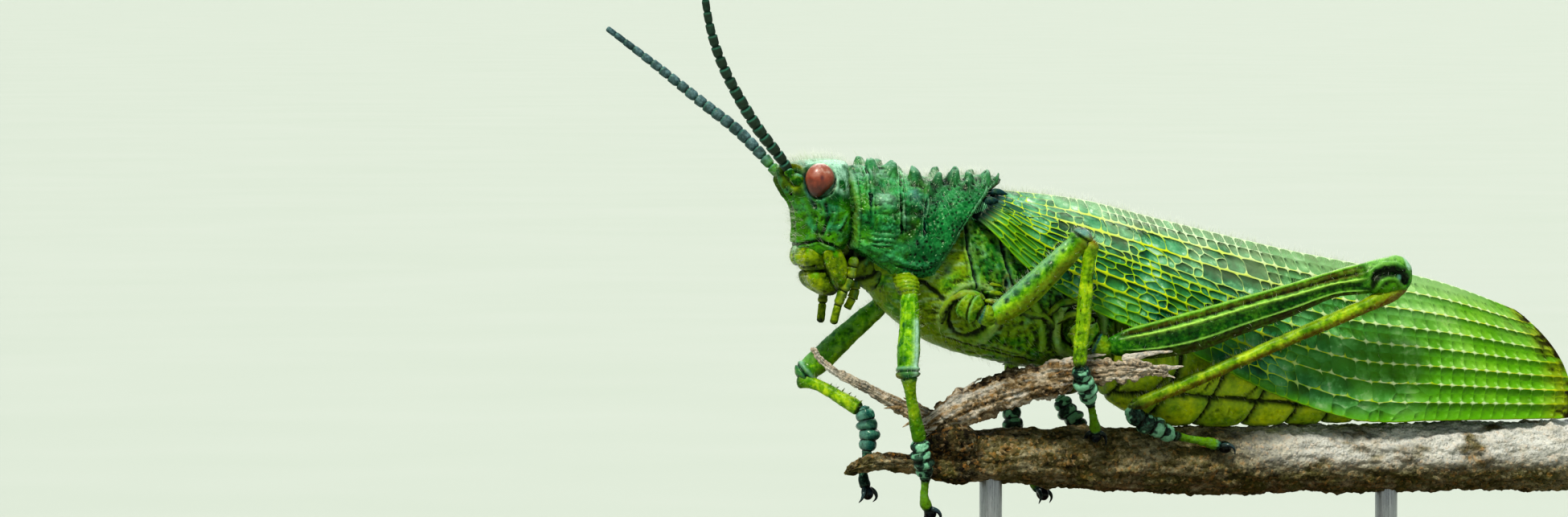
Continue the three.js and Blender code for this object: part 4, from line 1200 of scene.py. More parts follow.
def make_thorax(finish):
    thorax = draw_tube("thorax", 44, 26, 3, trunk_ring(THORAX_RINGS))
    clay = Clay(thorax)
    x, z = clay.points[:, 0], clay.points[:, 2]
    flank = ramp(clay.fold[:, 1], 2.2, 3.4)
    for path in THORAX_SEAMS:
        clay.line(path, 0.13, -0.36, 0.16, blue=0.7, night=0.25)
        clay.line([(a + 0.5, b, c) for a, b, c in path], 0.22, 0.12, fade=0.2)
    for (hip_x, hip_z), reach in HIP_SOCKETS:
        away = np.hypot(x - hip_x, (z - hip_z) * 0.92)
        clay.lift += (0.3 * bell(away - reach, 0.4) - 0.6 * np.exp(-((away / (reach * 0.78)) ** 4))) * flank
        clay.lift -= 0.22 * bell(away - reach * 0.72, 0.14) * flank
        # A near-black ring in each socket's groove: painted shade round the hip.
        clay.tint(bell(away - reach * 0.74, 0.16) * flank, night=0.9)
        clay.tint(bell(away - reach * 1.02, 0.26) * flank, yellow=0.5, frost=0.15)
    # Spiracle: a dark slit in a raised oval rim.
    vent = np.hypot((x + 19.5) / 0.36, (z - 31.0) / 0.62)
    clay.lift += (0.2 * bell(vent - 1.1, 0.3) - 0.24 * bell(vent, 0.6)) * flank
    clay.tint(bell(vent - 1.1, 0.25) * flank, rust=0.6)
    clay.tint(bell(vent, 0.7) * flank, blue=0.9, frost=0.2)
    clay.tint(bell(vent, 0.26) * flank, night=0.9)
    # Straps between the hips, and folds along the breast.
    clay.line([(-17.6, 5.2, 30.2), (-16.6, 5.0, 28.4), (-15.9, 4.4, 26.6), (-15.6, 3.6, 25.2)], 0.4, 0.42,
              yellow=0.8, lime=0.3)
    clay.line([(-14.6, 5.1, 29.0), (-14.2, 4.8, 27.3), (-14.2, 4.2, 25.8)], 0.26, 0.3, yellow=0.6)
    clay.line([(-18.6, 5.2, 29.6), (-17.9, 4.9, 27.6), (-17.3, 4.2, 25.9)], 0.18, -0.3, night=0.6)
    clay.line([(-15.4, 5.1, 29.4), (-15.1, 4.8, 27.4), (-15.0, 4.2, 25.8)], 0.14, -0.26, night=0.6)
    clay.line([(-27.2, 3.2, 28.6), (-25.0, 3.3, 26.9), (-21.4, 3.3, 25.8), (-17.0, 2.8, 24.8)], 0.24, 0.24,
              yellow=0.6)
    clay.line([(-28.0, 2.4, 28.4), (-25.2, 2.4, 26.4), (-21.0, 2.4, 25.1), (-16.0, 2.0, 24.0)], 0.16, -0.24,
              night=0.6)
    clay.line([(-28.8, 3.5, 31.6), (-26.8, 4.2, 31.0), (-25.2, 4.5, 29.6)], 0.24, -0.34, night=0.8)
    clay.line([(-29.4, 3.2, 33.0), (-28.0, 4.0, 32.2), (-26.2, 4.6, 31.8)], 0.26, 0.24, bright=0.4)
    clay.press()
    # Wrinkled yellow plate in front, granular green plates behind.
    front = ramp(-x, 22.5, 23.4)
    clay.lift += 0.055 * ripple(clay.points, (1.5, 1.5, 0.4), 51, 3) * (0.1 + front) * flank
    clay.crinkle((1.0, 1.0, 0.9), 0.055, 52, (1 - front) * ramp(z, 26, 29))
    clay.rough(0.45, 0.06, 50, 1 - front, octaves=2)
    clay.pits(0.6, 0.1, 53, (1 - front) * ramp(z, 27, 30), 0.34, night=0.3)
    clay.rough(0.18, 0.02, 58, octaves=2)
    crest = ripple(clay.points, 0.6, 54, 3)
    clay.tint(ramp(crest, 0.3, 0.9) * (1 - front), frost=0.12, bright=0.25)
    clay.fleck(1.3, 55, -0.6, 0.3, front, yellow=0.9)
    clay.fleck((1.4, 1.4, 0.3), 59, 0.2, 0.8, front, frost=0.3)
    clay.fleck(1.6, 56, -0.7, 0.3, ramp(z, 29.5, 26.5), yellow=0.62)
    clay.tint((1 - front) * ramp(z, 30.0, 32.5), teal=0.35)
    clay.fleck(1.1, 60, 0.1, 0.7, 1 - front, yellow=0.4)
    clay.pits(1.3, 0.02, 57, ramp(z, 31, 28), 0.2, night=0.6, teal=0.3)
    clay.spot((-24.9, 4.8, 32.2), (0.4, 2, 0.6), -0.05, blue=0.5)
    clay.done(shine=0.15)
    finished(thorax, finish["trunk"], "thorax", slot="body_shell")


# ---- Abdomen ----

ABDOMEN_RINGS = [
    (-8.8, 35.0, 21.0, 4.0),
    (-4.4, 33.9, 18.9, 3.85),
    (-0.4, 32.4, 18.15, 3.6),
    (3.8, 30.4, 18.1, 3.3),
    (8.0, 28.2, 18.1, 2.95),
    (12.0, 25.6, 18.1, 2.5),
    (16.0, 22.9, 18.15, 1.9),
    (19.5, 20.9, 18.25, 1.2),
    (21.5, 20.0, 18.7, 0.6),
]
BELLY_JOINTS = (-8.2, -3.7, 1.0, 5.7, 9.9, 13.4, 16.6, 19.2)
BELLY_LEAN = 0.42  # how far each joint leans to the rear as it rises


def make_abdomen(finish):
    abdomen = draw_tube("abdomen", 36, 52, 2, trunk_ring(ABDOMEN_RINGS))
    clay = Clay(abdomen)
    x, z = clay.points[:, 0], clay.points[:, 2]
    lean = x - BELLY_LEAN * np.clip(z - 20.5, -3, 3)
    joints = np.asarray(BELLY_JOINTS)
    i = np.clip(np.searchsorted(joints, lean) - 1, 0, len(joints) - 2)
    phase = np.clip((lean - joints[i]) / (joints[i + 1] - joints[i]), 0, 1)
    seam_away = np.min(np.abs(lean[:, None] - joints[None, :]), axis=1)
    size = ramp(-x, -21, -4)
    plump = (0.34 * np.sin(np.pi * phase) ** 0.6 + 0.12 * phase) * (0.35 + 0.65 * size)
    clay.lift += plump - 0.3 * bell(seam_away, 0.2)
    clay.tint(bell(seam_away, 0.2), night=0.8)
    clay.tint(bell(seam_away - 0.35, 0.25), teal=0.35)
    # A side seam parts the belly plates from the back plates.
    side_height = 20.9 - 0.42 * ramp(x, -8, 18) * 4
    seam = z - side_height - 0.25 * np.sin(np.pi * phase)
    flank = ramp(clay.fold[:, 1], 0.8, 1.6)
    clay.lift -= 0.42 * bell(seam, 0.22) * flank
    clay.tint(bell(seam, 0.18) * flank, night=0.75)
    crease = np.abs(lean - joints[i] - 0.62 * (joints[i + 1] - joints[i]) - (z - side_height) * 0.5)
    fold = bell(crease, 0.14) * ramp(z, side_height + 0.2, side_height + 0.8)
    fold = fold * ramp(side_height + 2.4 - z, 0, 0.8)
    clay.lift -= 0.2 * fold
    clay.tint(fold, night=0.5)
    clay.press()
    clay.rough(0.8, 0.06, 61)
    clay.rough((0.3, 0.8, 0.8), 0.03, 62)
    upper = ramp(clay.points[:, 2], side_height + 2.2, side_height + 4.5)
    clay.tint(upper, lime=0.45, teal=0.12)
    clay.fleck(1.4, 63, 0.0, 0.9, lime=0.4)
    clay.tint(bell(phase - 0.95, 0.2) * 0.6, lime=0.5)
    clay.done()
    finished(abdomen, finish["belly"], "abdomen", slot="belly_shell")


# ---- Wings: a net of veins with a sunken cell in every mesh ----

WING_TOP = [(-19.2, 39.1), (-11.1, 38.2), (-2.6, 36.2), (9.0, 33.5), (23.0, 30.7), (31.5, 27.8)]
WING_LOW = [(-22.6, 37.2), (-17.6, 32.2), (-11.2, 28.5), (-4.2, 25.7), (2.1, 22.8), (7.6, 20.4), (14.9, 18.3),
            (22.0, 18.12), (29.1, 18.08), (36.2, 18.05)]
WING_BULGE = 1.75
WING_SPREAD = {"hinge": 6.1, "per_mm": 0.075, "ridge": 0.26, "ridge_at_hinge": 1.1, "tuck": 0.42}
WING_GRID = {"columns": 112, "rows": 16}
THICK_ROWS = (2, 4, 7, 10, 12)
VEIN_HALF = {"thick": 0.25, "even": 0.12, "thin": 0.07, "cross": 0.055}
VEIN_RISE = {"thick": 0.3, "even": 0.2, "thin": 0.13}
WALL = 0.13
WING_FLOOR = 18.02  # the lowest that a wing hangs
WING_GAP = 0.2  # least distance of a wing from the middle
CELL_CORNER = 0.27  # how sharp a cell's corners stay when the net is smoothed


def wing_place(side, s, t):
    """The wing's outer surface: s from hinge to tip, t from the back down to the lower edge."""
    top_x, top_z = flow(WING_TOP, s).T
    low_x, low_z = flow(WING_LOW, s).T
    x = mix(top_x, low_x, t) + WING_BULGE * 4 * t * (1 - t) * s**3
    z = mix(top_z, low_z, t)
    spread = WING_SPREAD["hinge"] - WING_SPREAD["per_mm"] * (x + 21)
    ridge = mix(WING_SPREAD["ridge_at_hinge"], WING_SPREAD["ridge"], np.minimum(2.5 * s, 1))
    y = mix(ridge, spread, 1 - (1 - t) ** 3) * (1 - WING_SPREAD["tuck"] * ramp(s, 0.075, 0.0) ** 2)
    return np.stack([x, side * y, z], axis=1)


def wing_run(s, t, ahead, down):
    """The way on the wing from just before a place to just past it, and how much of the wing that is."""
    s_low, s_high = np.maximum(s - ahead, 0), np.minimum(s + ahead, 1)
    t_low, t_high = np.maximum(t - down, 0), np.minimum(t + down, 1)
    return wing_place(1, s_high, t_high) - wing_place(1, s_low, t_low), s_high - s_low + t_high - t_low


def strip_of(row, column):
    """Which strip between two main veins a place is in, and its column in the strip's own beat of four."""
    strip = row // 2
    return strip, column + 2 * (strip % 2)


def is_pleated(strip, beat):
    """Whether a place lies in the straight-pleated outer part, which starts further out low down."""
    start = (0.5 + 0.03 * np.sin(strip * 2.3) + 0.04 * strip) * WING_GRID["columns"]
    start = np.where(strip == 0, 0.25 * WING_GRID["columns"], start)
    return beat >= 4 * np.rint(start / 4)


def is_honeycomb(strip, beat):
    """Whether a place in the netted part has two rows of six-sided cells rather than one of four-sided."""
    return chance(beat // 8, strip, 0, 7) < np.where(strip < 2, 0.3, 0.62)


def wing_net(name):
    """A flat net, one unit to a square, with edges dissolved so that the right cells are left."""
    columns, rows = WING_GRID["columns"], WING_GRID["rows"]
    deselect()
    bpy.ops.mesh.primitive_grid_add(x_subdivisions=columns, y_subdivisions=rows, size=2)
    net = named(name)
    place = grab(net) * MM
    column, row = np.rint((place[:, 0] + 1) / 2 * columns), np.rint((1 - place[:, 1]) / 2 * rows)
    put(net, np.stack([column, -row, np.zeros(len(row))], axis=1) / MM)
    a, b = read(net.data.edges, "vertices", 2).T
    c, r = np.minimum(column[a], column[b]).astype(np.int64), np.minimum(row[a], row[b]).astype(np.int64)
    lengthwise = row[a] == row[b]
    strip, beat = strip_of(r, c)
    pleated, comb = is_pleated(strip, beat), is_honeycomb(strip, beat)
    drop_long = lengthwise & (r % 2 == 1) & ~pleated & ~comb & ~np.isin(r, THICK_ROWS)
    k = beat % 4
    extra = chance(beat // 4, strip, 0, 9) < 0.3
    keep_comb = np.where(r % 2 == 0, k == 0, k == 2) | (beat % 8 == 0)
    keep_single = (k == 0) | (extra & (k == 2))
    keep = np.where(pleated, c % 2 == 0, np.where(comb, keep_comb, keep_single))
    border = (row[a] == 0) & (row[b] == 0) | (row[a] == rows) & (row[b] == rows)
    border |= (column[a] == 0) & (column[b] == 0) | (column[a] == columns) & (column[b] == columns)
    drop = (drop_long | (~lengthwise & ~keep)) & ~border
    with editing_only(net, "EDGE", net.data.edges, drop):
        bpy.ops.mesh.dissolve_edges(use_verts=False, use_face_split=False)
        bpy.ops.mesh.select_mode(type="FACE")
        bpy.ops.mesh.select_all(action="SELECT")
        bpy.ops.mesh.inset(thickness=0.02, depth=0.0, use_individual=True, use_even_offset=False)
    return net


def shape_wing(net, side):
    """Lays the net on the wing, draws each cell in from its veins and raises the veins."""
    columns, rows = WING_GRID["columns"], WING_GRID["rows"]
    raw = grab(net) * MM
    column, row = np.rint(raw[:, 0]), np.rint(-raw[:, 1])
    # Every corner of a cell's own face, and the face that it belongs to.
    count = read(net.data.polygons, "loop_total")
    owner = np.repeat(np.arange(len(count)), count)
    picked = read(net.data.polygons, "select", kind=bool)[owner]
    corner, owner = read(net.data.loops, "vertex_index")[picked], owner[picked]
    inner = np.zeros(len(raw), bool)
    inner[corner] = True
    # Bends the straight net: junctions are pulled towards their cross-veins and jostled.
    ci, ri = column.astype(np.int64), row.astype(np.int64)
    strip, beat = strip_of(ri, ci)
    netted = np.where(is_pleated(strip, beat), 0.0, 1.0) * ramp(column, 2, 8)
    edge = (ci == 0) | (ci == columns) | (ri == 0) | (ri == rows)
    thick = np.isin(ri, THICK_ROWS)
    even = ri % 2 == 0
    pull = np.cos(math.pi / 2 * beat)
    sway = np.where(thick, 0.03, np.where(even, 0.07, -0.17)) * pull * netted
    jostle = np.where(thick, 0.06, np.where(even, 0.12, 0.42)) * (0.15 + netted)
    sway = sway + (chance(ci, ri, 0, 11) - 0.5) * jostle
    slide = (chance(ci, ri, 0, 12) - 0.5) * (0.2 + 1.1 * netted) + 0.5 * netted * np.where(even, 0, 1)
    col_at = column + np.where(edge, 0, slide)
    row_at = row + np.where(edge, 0, sway)
    # The size in mm of one square of the net, and the middle and reach of each cell in squares.
    s, t = col_at / columns, row_at / rows
    way, share = wing_run(s, t, 0.004, 0)
    wide = np.linalg.norm(way, axis=1) / (share * columns)
    way, share = wing_run(s, t, 0, 0.01)
    tall = np.linalg.norm(way, axis=1) / (share * rows)
    cell = np.zeros(len(raw), np.int64)
    cell[corner] = owner
    tally = np.bincount(owner, minlength=len(count)).clip(1)
    centre_c = np.bincount(owner, col_at[corner], len(count)) / tally
    centre_r = np.bincount(owner, row_at[corner], len(count)) / tally
    reach_c, reach_r = np.full(len(count), 1e-3), np.full(len(count), 1e-3)
    np.maximum.at(reach_c, owner, np.abs(col_at[corner] - centre_c[owner]))
    np.maximum.at(reach_r, owner, np.abs(row_at[corner] - centre_r[owner]))
    kind = np.where(thick, "thick", np.where(even, "even", "thin"))
    outward_part = ramp(s, 0.46, 0.62)
    half_row = np.vectorize(VEIN_HALF.get)(kind) * (1 + 0.3 * ramp(-s, -0.45, 0.0))
    half_row = mix(half_row, np.where(even, 0.12, 0.04), outward_part)
    rise = np.vectorize(VEIN_RISE.get)(kind)
    f = cell[inner]
    dc, dr = col_at[inner] - centre_c[f], row_at[inner] - centre_r[f]
    # slope runs from -1 at a cell's top to 1 at its bottom, for painted shade under its upper vein.
    slope = np.zeros(len(raw))
    slope[inner] = dr / reach_r[f]
    half_column = VEIN_HALF["cross"] * (1 - 0.5 * outward_part[inner])
    shrink_c = 1 - np.minimum(half_column / (reach_c[f] * wide[inner]), 0.4)
    shrink_r = 1 - np.minimum(half_row[inner] / (reach_r[f] * tall[inner]), 0.5)
    col_at[inner], row_at[inner] = centre_c[f] + dc * shrink_c, centre_r[f] + dr * shrink_r
    s, t = col_at / columns, row_at / rows
    out = unit(np.cross(wing_run(s, t, 0, 0.006)[0], wing_run(s, t, 0.003, 0)[0]))
    out[:, 1] = np.abs(out[:, 1])
    apical = ramp(s, 0.4, 0.66) * ramp(1 - s, 0.0, 0.05)
    fold = np.abs((row_at % 2) - 1) * 2 - 1
    lift = (0.05 + 0.13 * apical) * fold * ramp(t, 0.0, 0.06) * ramp(1 - t, 0.0, 0.05)
    ridges = rise * (1 - apical * (0.66 + 0.22 * (ri % 2)))
    lift += np.where(inner | (ri == 0), 0.0, ridges) * ramp(1 - s, 0.0, 0.03)
    place = wing_place(1, s, t) + out * lift[:, None]
    place[:, 1] = np.maximum(place[:, 1], WING_GAP) * side
    place[:, 2] = np.maximum(place[:, 2], WING_FLOOR)
    put(net, place)
    # band marks alternate rows of cells, for painted shade on the pleat slopes that face down.
    band = np.where(inner, np.floor(centre_r[cell]) % 2, 0.5)
    patch = np.where(inner, chance(cell, 0, 0, 13), 0.5)
    strength = np.where(inner, 0.0, np.where(even, 1.0, 1 - 0.6 * apical))
    ridge = np.where(inner, 0.0, np.where(even, 1.0, 0.0))
    main = np.where(inner, 0.0, np.where(thick, 1.0, 0.0))
    minor = np.where(inner | even, 0.0, 1.0)
    remember(net, reach=s, down=t, vein=strength, band=band, patch=patch, slope=slope, ridge=ridge, main=main,
             minor=minor)
    # The cells keep their corners when the net is smoothed.
    both = inner[read(net.data.edges, "vertices", 2)].all(axis=1)
    crease = net.data.attributes.new("crease_edge", "FLOAT", "EDGE")
    crease.data.foreach_set("value", np.where(both, 0.8, 0.0))
    corners = net.data.attributes.new("crease_vert", "FLOAT", "POINT")
    corners.data.foreach_set("value", np.where(inner, CELL_CORNER, 0.0))
    group = net.vertex_groups.new(name="veins")
    group.add([int(v) for v in np.flatnonzero(~inner & (ri > 0))], 1.0, "REPLACE")


def tint_wing(wing):
    clay = Clay(wing)
    s, t = recall(wing, "reach"), recall(wing, "down")
    vein, ridge, cells = recall(wing, "vein"), recall(wing, "ridge"), recall(wing, "patch")
    ragged = ripple(clay.points, 0.9, 71, 2)
    cloud = ripple(clay.points, 2.6, 72, 2)
    clay.tint(ramp(s, 0.93, 0.985) * ramp(ragged, -0.9, 0.3), rust=0.9)
    blot = ramp(ripple(clay.points, (0.9, 0.9, 0.55), 73, 2), 0.12, 0.3)
    clay.tint(ramp(s, 0.955, 0.97) * blot, night=0.9)
    clay.tint(ramp(s, 0.984, 0.994) * ramp(ragged, -0.6, 0.1), night=0.9)
    clay.tint(ramp(s, 0.9, 0.93) * ramp(cells, 0.84, 0.88) * (1 - vein), night=0.4)
    apical = ramp(s, 0.46, 0.7) * ramp(1 - s, 0.03, 0.1)
    off_row = np.abs(t * WING_GRID["rows"] - np.rint(t * WING_GRID["rows"]))
    crossing = ramp(off_row, 0.1, 0.25)
    beat = 0.5 + 0.5 * np.cos(s * WING_GRID["columns"] * math.pi)
    # Painted highlights: pale beads along the pleat ridges.
    clay.tint(ridge * apical * ramp(t, 1.0, 0.9) * (1 - crossing) * ramp(beat, 0.3, 0.9), frost=1.0)
    remember(wing, vein=vein * (1 - 0.9 * crossing * ramp(s, 0.5, 0.75)))
    keeps_yellow = 1 - 0.75 * recall(wing, "main")
    # Painted sheen: a pale strip along the upper edge, and a pale haze over the upper part of the wing.
    strip = ramp(t, 0.16, 0.03) * ramp(s, 0.06, 0.25) * ramp(1 - s, 0.04, 0.16)
    clay.tint(strip, frost=0.9)
    upper = ramp(t, 0.5, 0.16) * ramp(cloud, -1.0, 0.2) * (0.4 + 0.6 * ramp(s, 0.66, 0.5))
    clay.tint(upper * ramp(s, 0.06, 0.24) * keeps_yellow, frost=0.75)
    clay.tint(ramp(t, 0.93, 0.985), green=0.9)
    clay.tint(ramp(t, 0.35, 0.8) * ramp(cloud, -0.6, 0.5), green=0.6)
    clay.tint(ramp(s, 0.14, 0.02) * ramp(t, 0.3, 0.75), green=0.6)
    clay.tint(ramp(s, 0.045, 0.02), blue=0.95)
    remember(wing, **clay.masks)


def make_wings(finish):
    for word, side in SIDES.items():
        wing = wing_net(f"wing_{word}")
        shape_wing(wing, side)
        subdivide(wing, 1)
        if np.mean(outward(wing)[:, 1] * side) < 0:
            with editing(wing):
                bpy.ops.mesh.flip_normals()
        modify(wing, "SOLIDIFY", thickness=WALL * MM, offset=-1, use_rim=True, vertex_group="veins",
               thickness_vertex_group=0.9)
        tint_wing(wing)
        finished(wing, finish["wing"], f"wing_{word}", slot="wing")


HINGE_SKIN = {"path": [(-22.9, 2.6, 36.6), (-21.9, 3.3, 37.3), (-20.8, 3.7, 37.6)], "pleats": 17}
# The hard plates at the hinge: name, folded path, half thickness, shell and tints.
HINGE_PLATES = (
    ("hinge_knob", [(-21.2, 3.2, 38.0), (-20.5, 3.6, 38.2), (-19.7, 3.5, 38.2)], 0.38, "throat",
     {"blue": 0.9, "night": 0.7}),
    ("hinge_wedge", [(-20.4, 2.4, 38.8), (-19.4, 2.4, 38.9), (-18.4, 2.5, 38.7)], 0.3, "throat",
     {"blue": 0.9, "night": 0.6}),
    ("hinge_vein", [(-20.4, 3.9, 37.7), (-18.9, 4.5, 37.1), (-17.2, 4.9, 36.2)], 0.26, "leg",
     {"yellow": 0.9}),
    ("hinge_rib", [(-21.2, 4.2, 36.8), (-20.2, 4.9, 35.7), (-19.0, 5.3, 34.4)], 0.26, "leg",
     {"bright": 0.6}),
)


def make_hinges(finish):
    """The small hard plates and the pleated skin where each wing is hung."""
    for word, side in SIDES.items():
        path = folded(side, HINGE_SKIN["path"])
        pleats = limb(f"hinge_skin_{word}", path, [(0, 0.6), (0.5, 0.9), (1, 0.6)], flat=0.7, sides=16,
                      rings=84, levels=1, blunt=0.2)
        clay = Clay(pleats)
        wave = np.cos(clay.along * HINGE_SKIN["pleats"] * RAYS + 0.9 * np.sin(clay.turn))
        clay.lift += 0.03 * wave
        # Painted light on the pleats: pale on their crests and dark in their troughs.
        clay.tint(ramp(wave, -0.2, 0.6), bright=0.6, frost=0.35)
        clay.tint(ramp(-wave, 0.3, 0.9), night=0.6)
        clay.done()
        finished(pleats, finish["saddle"], slot="body_shell")
        for name, path, size, skin, colours in HINGE_PLATES:
            profile = [(0, size * 0.6), (0.4, size), (1, size * 0.5)]
            part = limb(f"{name}_{word}", folded(side, path), profile, flat=0.8, sides=14, rings=14, levels=2,
                        blunt=0.25)
            shaped = Clay(part)
            shaped.rough(0.5, 0.06, 74)
            shaped.tint(np.ones(len(shaped.points)) * 0.7, **colours)
            shaped.done()
            finished(part, finish[skin], slot="body_shell")


# ---- Legs ----

# Along the hind femur: share of its length, rise off the straight line, and half height.
HIND_FEMUR = [
    (0, 0, 0.65), (0.063, -0.25, 1.2), (0.14, -0.5, 1.5), (0.27, -0.6, 1.7), (0.43, -0.3, 1.52),
    (0.59, 0, 1.34), (0.755, 0.42, 1.1), (0.853, 0.24, 1.38), (0.92, 0, 1.65), (0.975, -0.05, 1.5),
    (1, 0, 0.8),
]
HIND_FLATNESS = ((0, 0.1, 0.3, 0.75, 0.9, 1), (0.7, 0.6, 0.52, 0.6, 0.66, 0.6))
HIND_RINGS_TO_THE_ENDS = 0.5
# Heights of the two pale ridges along the hind femur, at shares of its length.
UPPER_RIDGE = ((0.0, 0.49, 0.62, 0.8), (0.5, 0.42, 0.28, 0.02))
LOWER_RIDGE = ((0.0, 0.49, 0.62, 0.85), (-0.4, -0.45, -0.5, -0.8))
# The dark crescent over its knee: mm along it and how far round, on the flattened surface.
KNEE_CRESCENT = [(24.95, -0.6, 0), (25.3, -0.1, 0), (25.8, 0.3, 0), (26.6, 0.48, 0), (27.4, 0.36, 0),
                 (27.95, -0.02, 0), (28.2, -0.5, 0)]
KNEE_UNROLLED = {"along": 29.3, "round": 1.5}


def hind_femur(hip, knee):
    return [tuple(mix(a, b, share) for a, b in zip(hip, knee)) for share, _, _ in HIND_FEMUR]


# Joints from body to claw; the second number is the distance out from the middle.
LEGS = {
    "fore_left": {
        "coxa": [(-28.6, 3.2, 32.4), (-28.6, 4.6, 31.4), (-28.6, 5.1, 30.4)],
        "femur": [(-28.6, 5.1, 30.3), (-28.8, 5.6, 27.5), (-29.2, 6.3, 23.9), (-29.2, 6.4, 22.9)],
        "tibia": [(-29.1, 6.35, 22.8), (-28.7, 5.8, 21.0), (-27.5, 4.5, 17.6)],
        "tarsus": [(-27.4, 4.4, 17.3), (-27.0, 4.05, 15.6), (-26.6, 3.7, 14.2), (-26.5, 3.2, 12.1),
                   (-25.9, 2.9, 11.1)],
    },
    "fore_right": {
        "coxa": [(-27.9, 3.2, 31.2), (-27.5, 4.3, 30.0), (-27.3, 4.9, 29.2)],
        "femur": [(-27.4, 5.0, 28.9), (-29.8, 5.6, 26.8), (-33.3, 6.4, 23.5), (-34.6, 6.8, 22.4)],
        "tibia": [(-34.2, 6.5, 22.2), (-33.0, 5.3, 21.7), (-30.5, 2.9, 19.9)],
        "tarsus": [(-30.0, 2.6, 19.8), (-29.7, 2.3, 18.3), (-29.8, 2.1, 16.5), (-30.3, 1.9, 14.2),
                   (-30.1, 1.5, 12.7)],
    },
    "middle_left": {
        "coxa": [(-23.6, 4.4, 29.4), (-22.6, 5.4, 28.7), (-21.8, 5.9, 28.2)],
        "femur": [(-21.2, 6.0, 28.0), (-18.4, 6.7, 30.1), (-14.5, 7.9, 34.0), (-13.2, 8.2, 35.7)],
        "tibia": [(-12.9, 8.25, 34.4), (-13.2, 8.1, 31.0), (-13.7, 7.7, 24.0)],
        "tarsus": [(-13.6, 7.6, 23.6), (-12.6, 6.4, 21.9), (-11.6, 5.1, 20.3), (-10.6, 3.6, 18.3),
                   (-10.3, 3.0, 17.5)],
    },
    "middle_right": {
        "coxa": [(-23.6, 4.4, 28.6), (-22.8, 5.2, 27.6), (-22.2, 5.6, 27.0)],
        "femur": [(-22.0, 5.7, 26.9), (-19.4, 7.0, 28.9), (-14.9, 8.9, 32.0), (-13.6, 9.3, 32.8)],
        "tibia": [(-13.3, 9.2, 32.2), (-14.0, 7.4, 27.6), (-15.4, 4.4, 20.4)],
        "tarsus": [(-15.5, 4.1, 19.8), (-15.3, 3.8, 17.9), (-14.8, 3.5, 15.8), (-14.0, 2.9, 13.4),
                   (-13.4, 2.1, 12.2)],
    },
    "hind_left": {
        "coxa": [(-12.6, 4.0, 27.4), (-11.6, 5.0, 26.0), (-10.7, 5.5, 25.4)],
        "femur": hind_femur((-10.4, 5.8, 25.35), (18.1, 7.5, 31.8)),
        "tibia": [(15.9, 7.5, 29.9), (14.4, 7.4, 28.95), (7.5, 6.6, 26.1), (-1.5, 5.0, 22.3),
                  (-7.2, 3.9, 19.9)],
        "tarsus": [(-7.5, 3.9, 19.5), (-5.4, 3.6, 18.3), (-3.0, 3.35, 17.3), (0.2, 3.3, 16.6),
                   (1.7, 3.35, 16.2)],
    },
    "hind_right": {
        "coxa": [(-12.6, 4.0, 26.9), (-11.6, 5.0, 25.5), (-10.8, 5.6, 24.9)],
        "femur": hind_femur((-10.4, 5.9, 24.9), (15.6, 15.9, 29.3)),
        "tibia": [(13.6, 14.9, 27.6), (12.2, 14.4, 26.8), (6.0, 12.0, 25.0), (-4.0, 7.9, 22.4),
                  (-10.2, 5.3, 21.0)],
        "tarsus": [(-10.5, 4.8, 20.3), (-9.8, 4.2, 18.9), (-8.8, 3.6, 17.6), (-6.8, 3.3, 16.8),
                   (-5.6, 3.2, 16.4)],
    },
}


def leg_sides(name):
    pair, word = name.split("_")
    return pair, SIDES[word]


def make_coxa(name, joints, finish):
    """The hip: a plump folded joint that carries the thigh."""
    pair, side = leg_sides(name)
    a, b, c = (np.asarray(p) for p in joints["coxa"])
    d = np.asarray(joints["femur"][0])
    size = {"fore": 0.98, "middle": 1.1, "hind": 1.3}[pair]
    d = d + unit(np.asarray(joints["femur"][1]) - d) * (1.15 if pair == "fore" else 0.45)
    b = b - ((0, 0.5, 0.15) if pair == "fore" else 0)
    path = [tuple(a), tuple(b), tuple(mix(b, c, 0.85)), tuple(mix(c, d, 0.5)), tuple(d)]
    waist = {"fore": 0.84, "middle": 0.6, "hind": 0.62}[pair]
    coxa = limb(f"coxa_{name}", folded(side, path),
                [(0, size * 0.95), (waist * 0.4, size * 1.08), (waist * 0.8, size), (waist, size * 0.72),
                 (mix(waist, 1, 0.4), size * 0.8), (1, size * 0.55)],
                sides=22, rings=30, levels=2, up=(0.3, 0, 1), blunt=0.1)
    clay = Clay(coxa)
    clay.lift -= 0.16 * clay.ring(waist, 0.03)
    clay.tint(clay.ring(waist, 0.03), night=0.5)
    clay.tint(bell(clay.along - waist - 0.06, 0.035), blue=0.9)
    if pair == "fore":
        bent = 1.3 * np.sin(clay.turn * 2) + 2 * ripple(clay.points, 1.2, 80)
        wave = np.cos(clay.fold[:, 2] * RAYS / 0.34 + bent)
        stripes = ramp(waist - clay.along, 0.02, 0.1)
        clay.lift += 0.02 * wave * stripes
        clay.tint(ramp(wave, -0.2, 0.9) * stripes, yellow=0.9)
        clay.tint(ramp(-wave, 0.4, 1.0) * stripes, night=0.4)
        # Painted shade on the underside of the striped dome.
        clay.tint(ramp(-clay.out[:, 2], -0.2, 0.5) * stripes, night=0.4)
    else:
        for share in (0.12, 0.36):
            wavy = clay.along - share - 0.05 * np.sin(clay.turn + share * 9)
            clay.lift += 0.08 * bell(wavy - 0.06, 0.04) - 0.16 * bell(wavy, 0.025)
            clay.tint(bell(wavy, 0.03), night=0.85)
            clay.tint(bell(wavy - 0.05, 0.02), lime=0.6, frost=0.15)
        clay.crinkle((0.9, 0.9, 0.5), 0.05, 84)
    clay.press()
    clay.rough(0.8, 0.08, 81)
    clay.rough(0.28, 0.02, 82)
    clay.tint(np.clip(0.6 + ripple(clay.points, 1.0, 83), 0, 1), yellow=0.75)
    clay.done()
    finished(coxa, finish["leg" if pair == "fore" else "trunk"], f"coxa_{name}", slot="leg_shell")


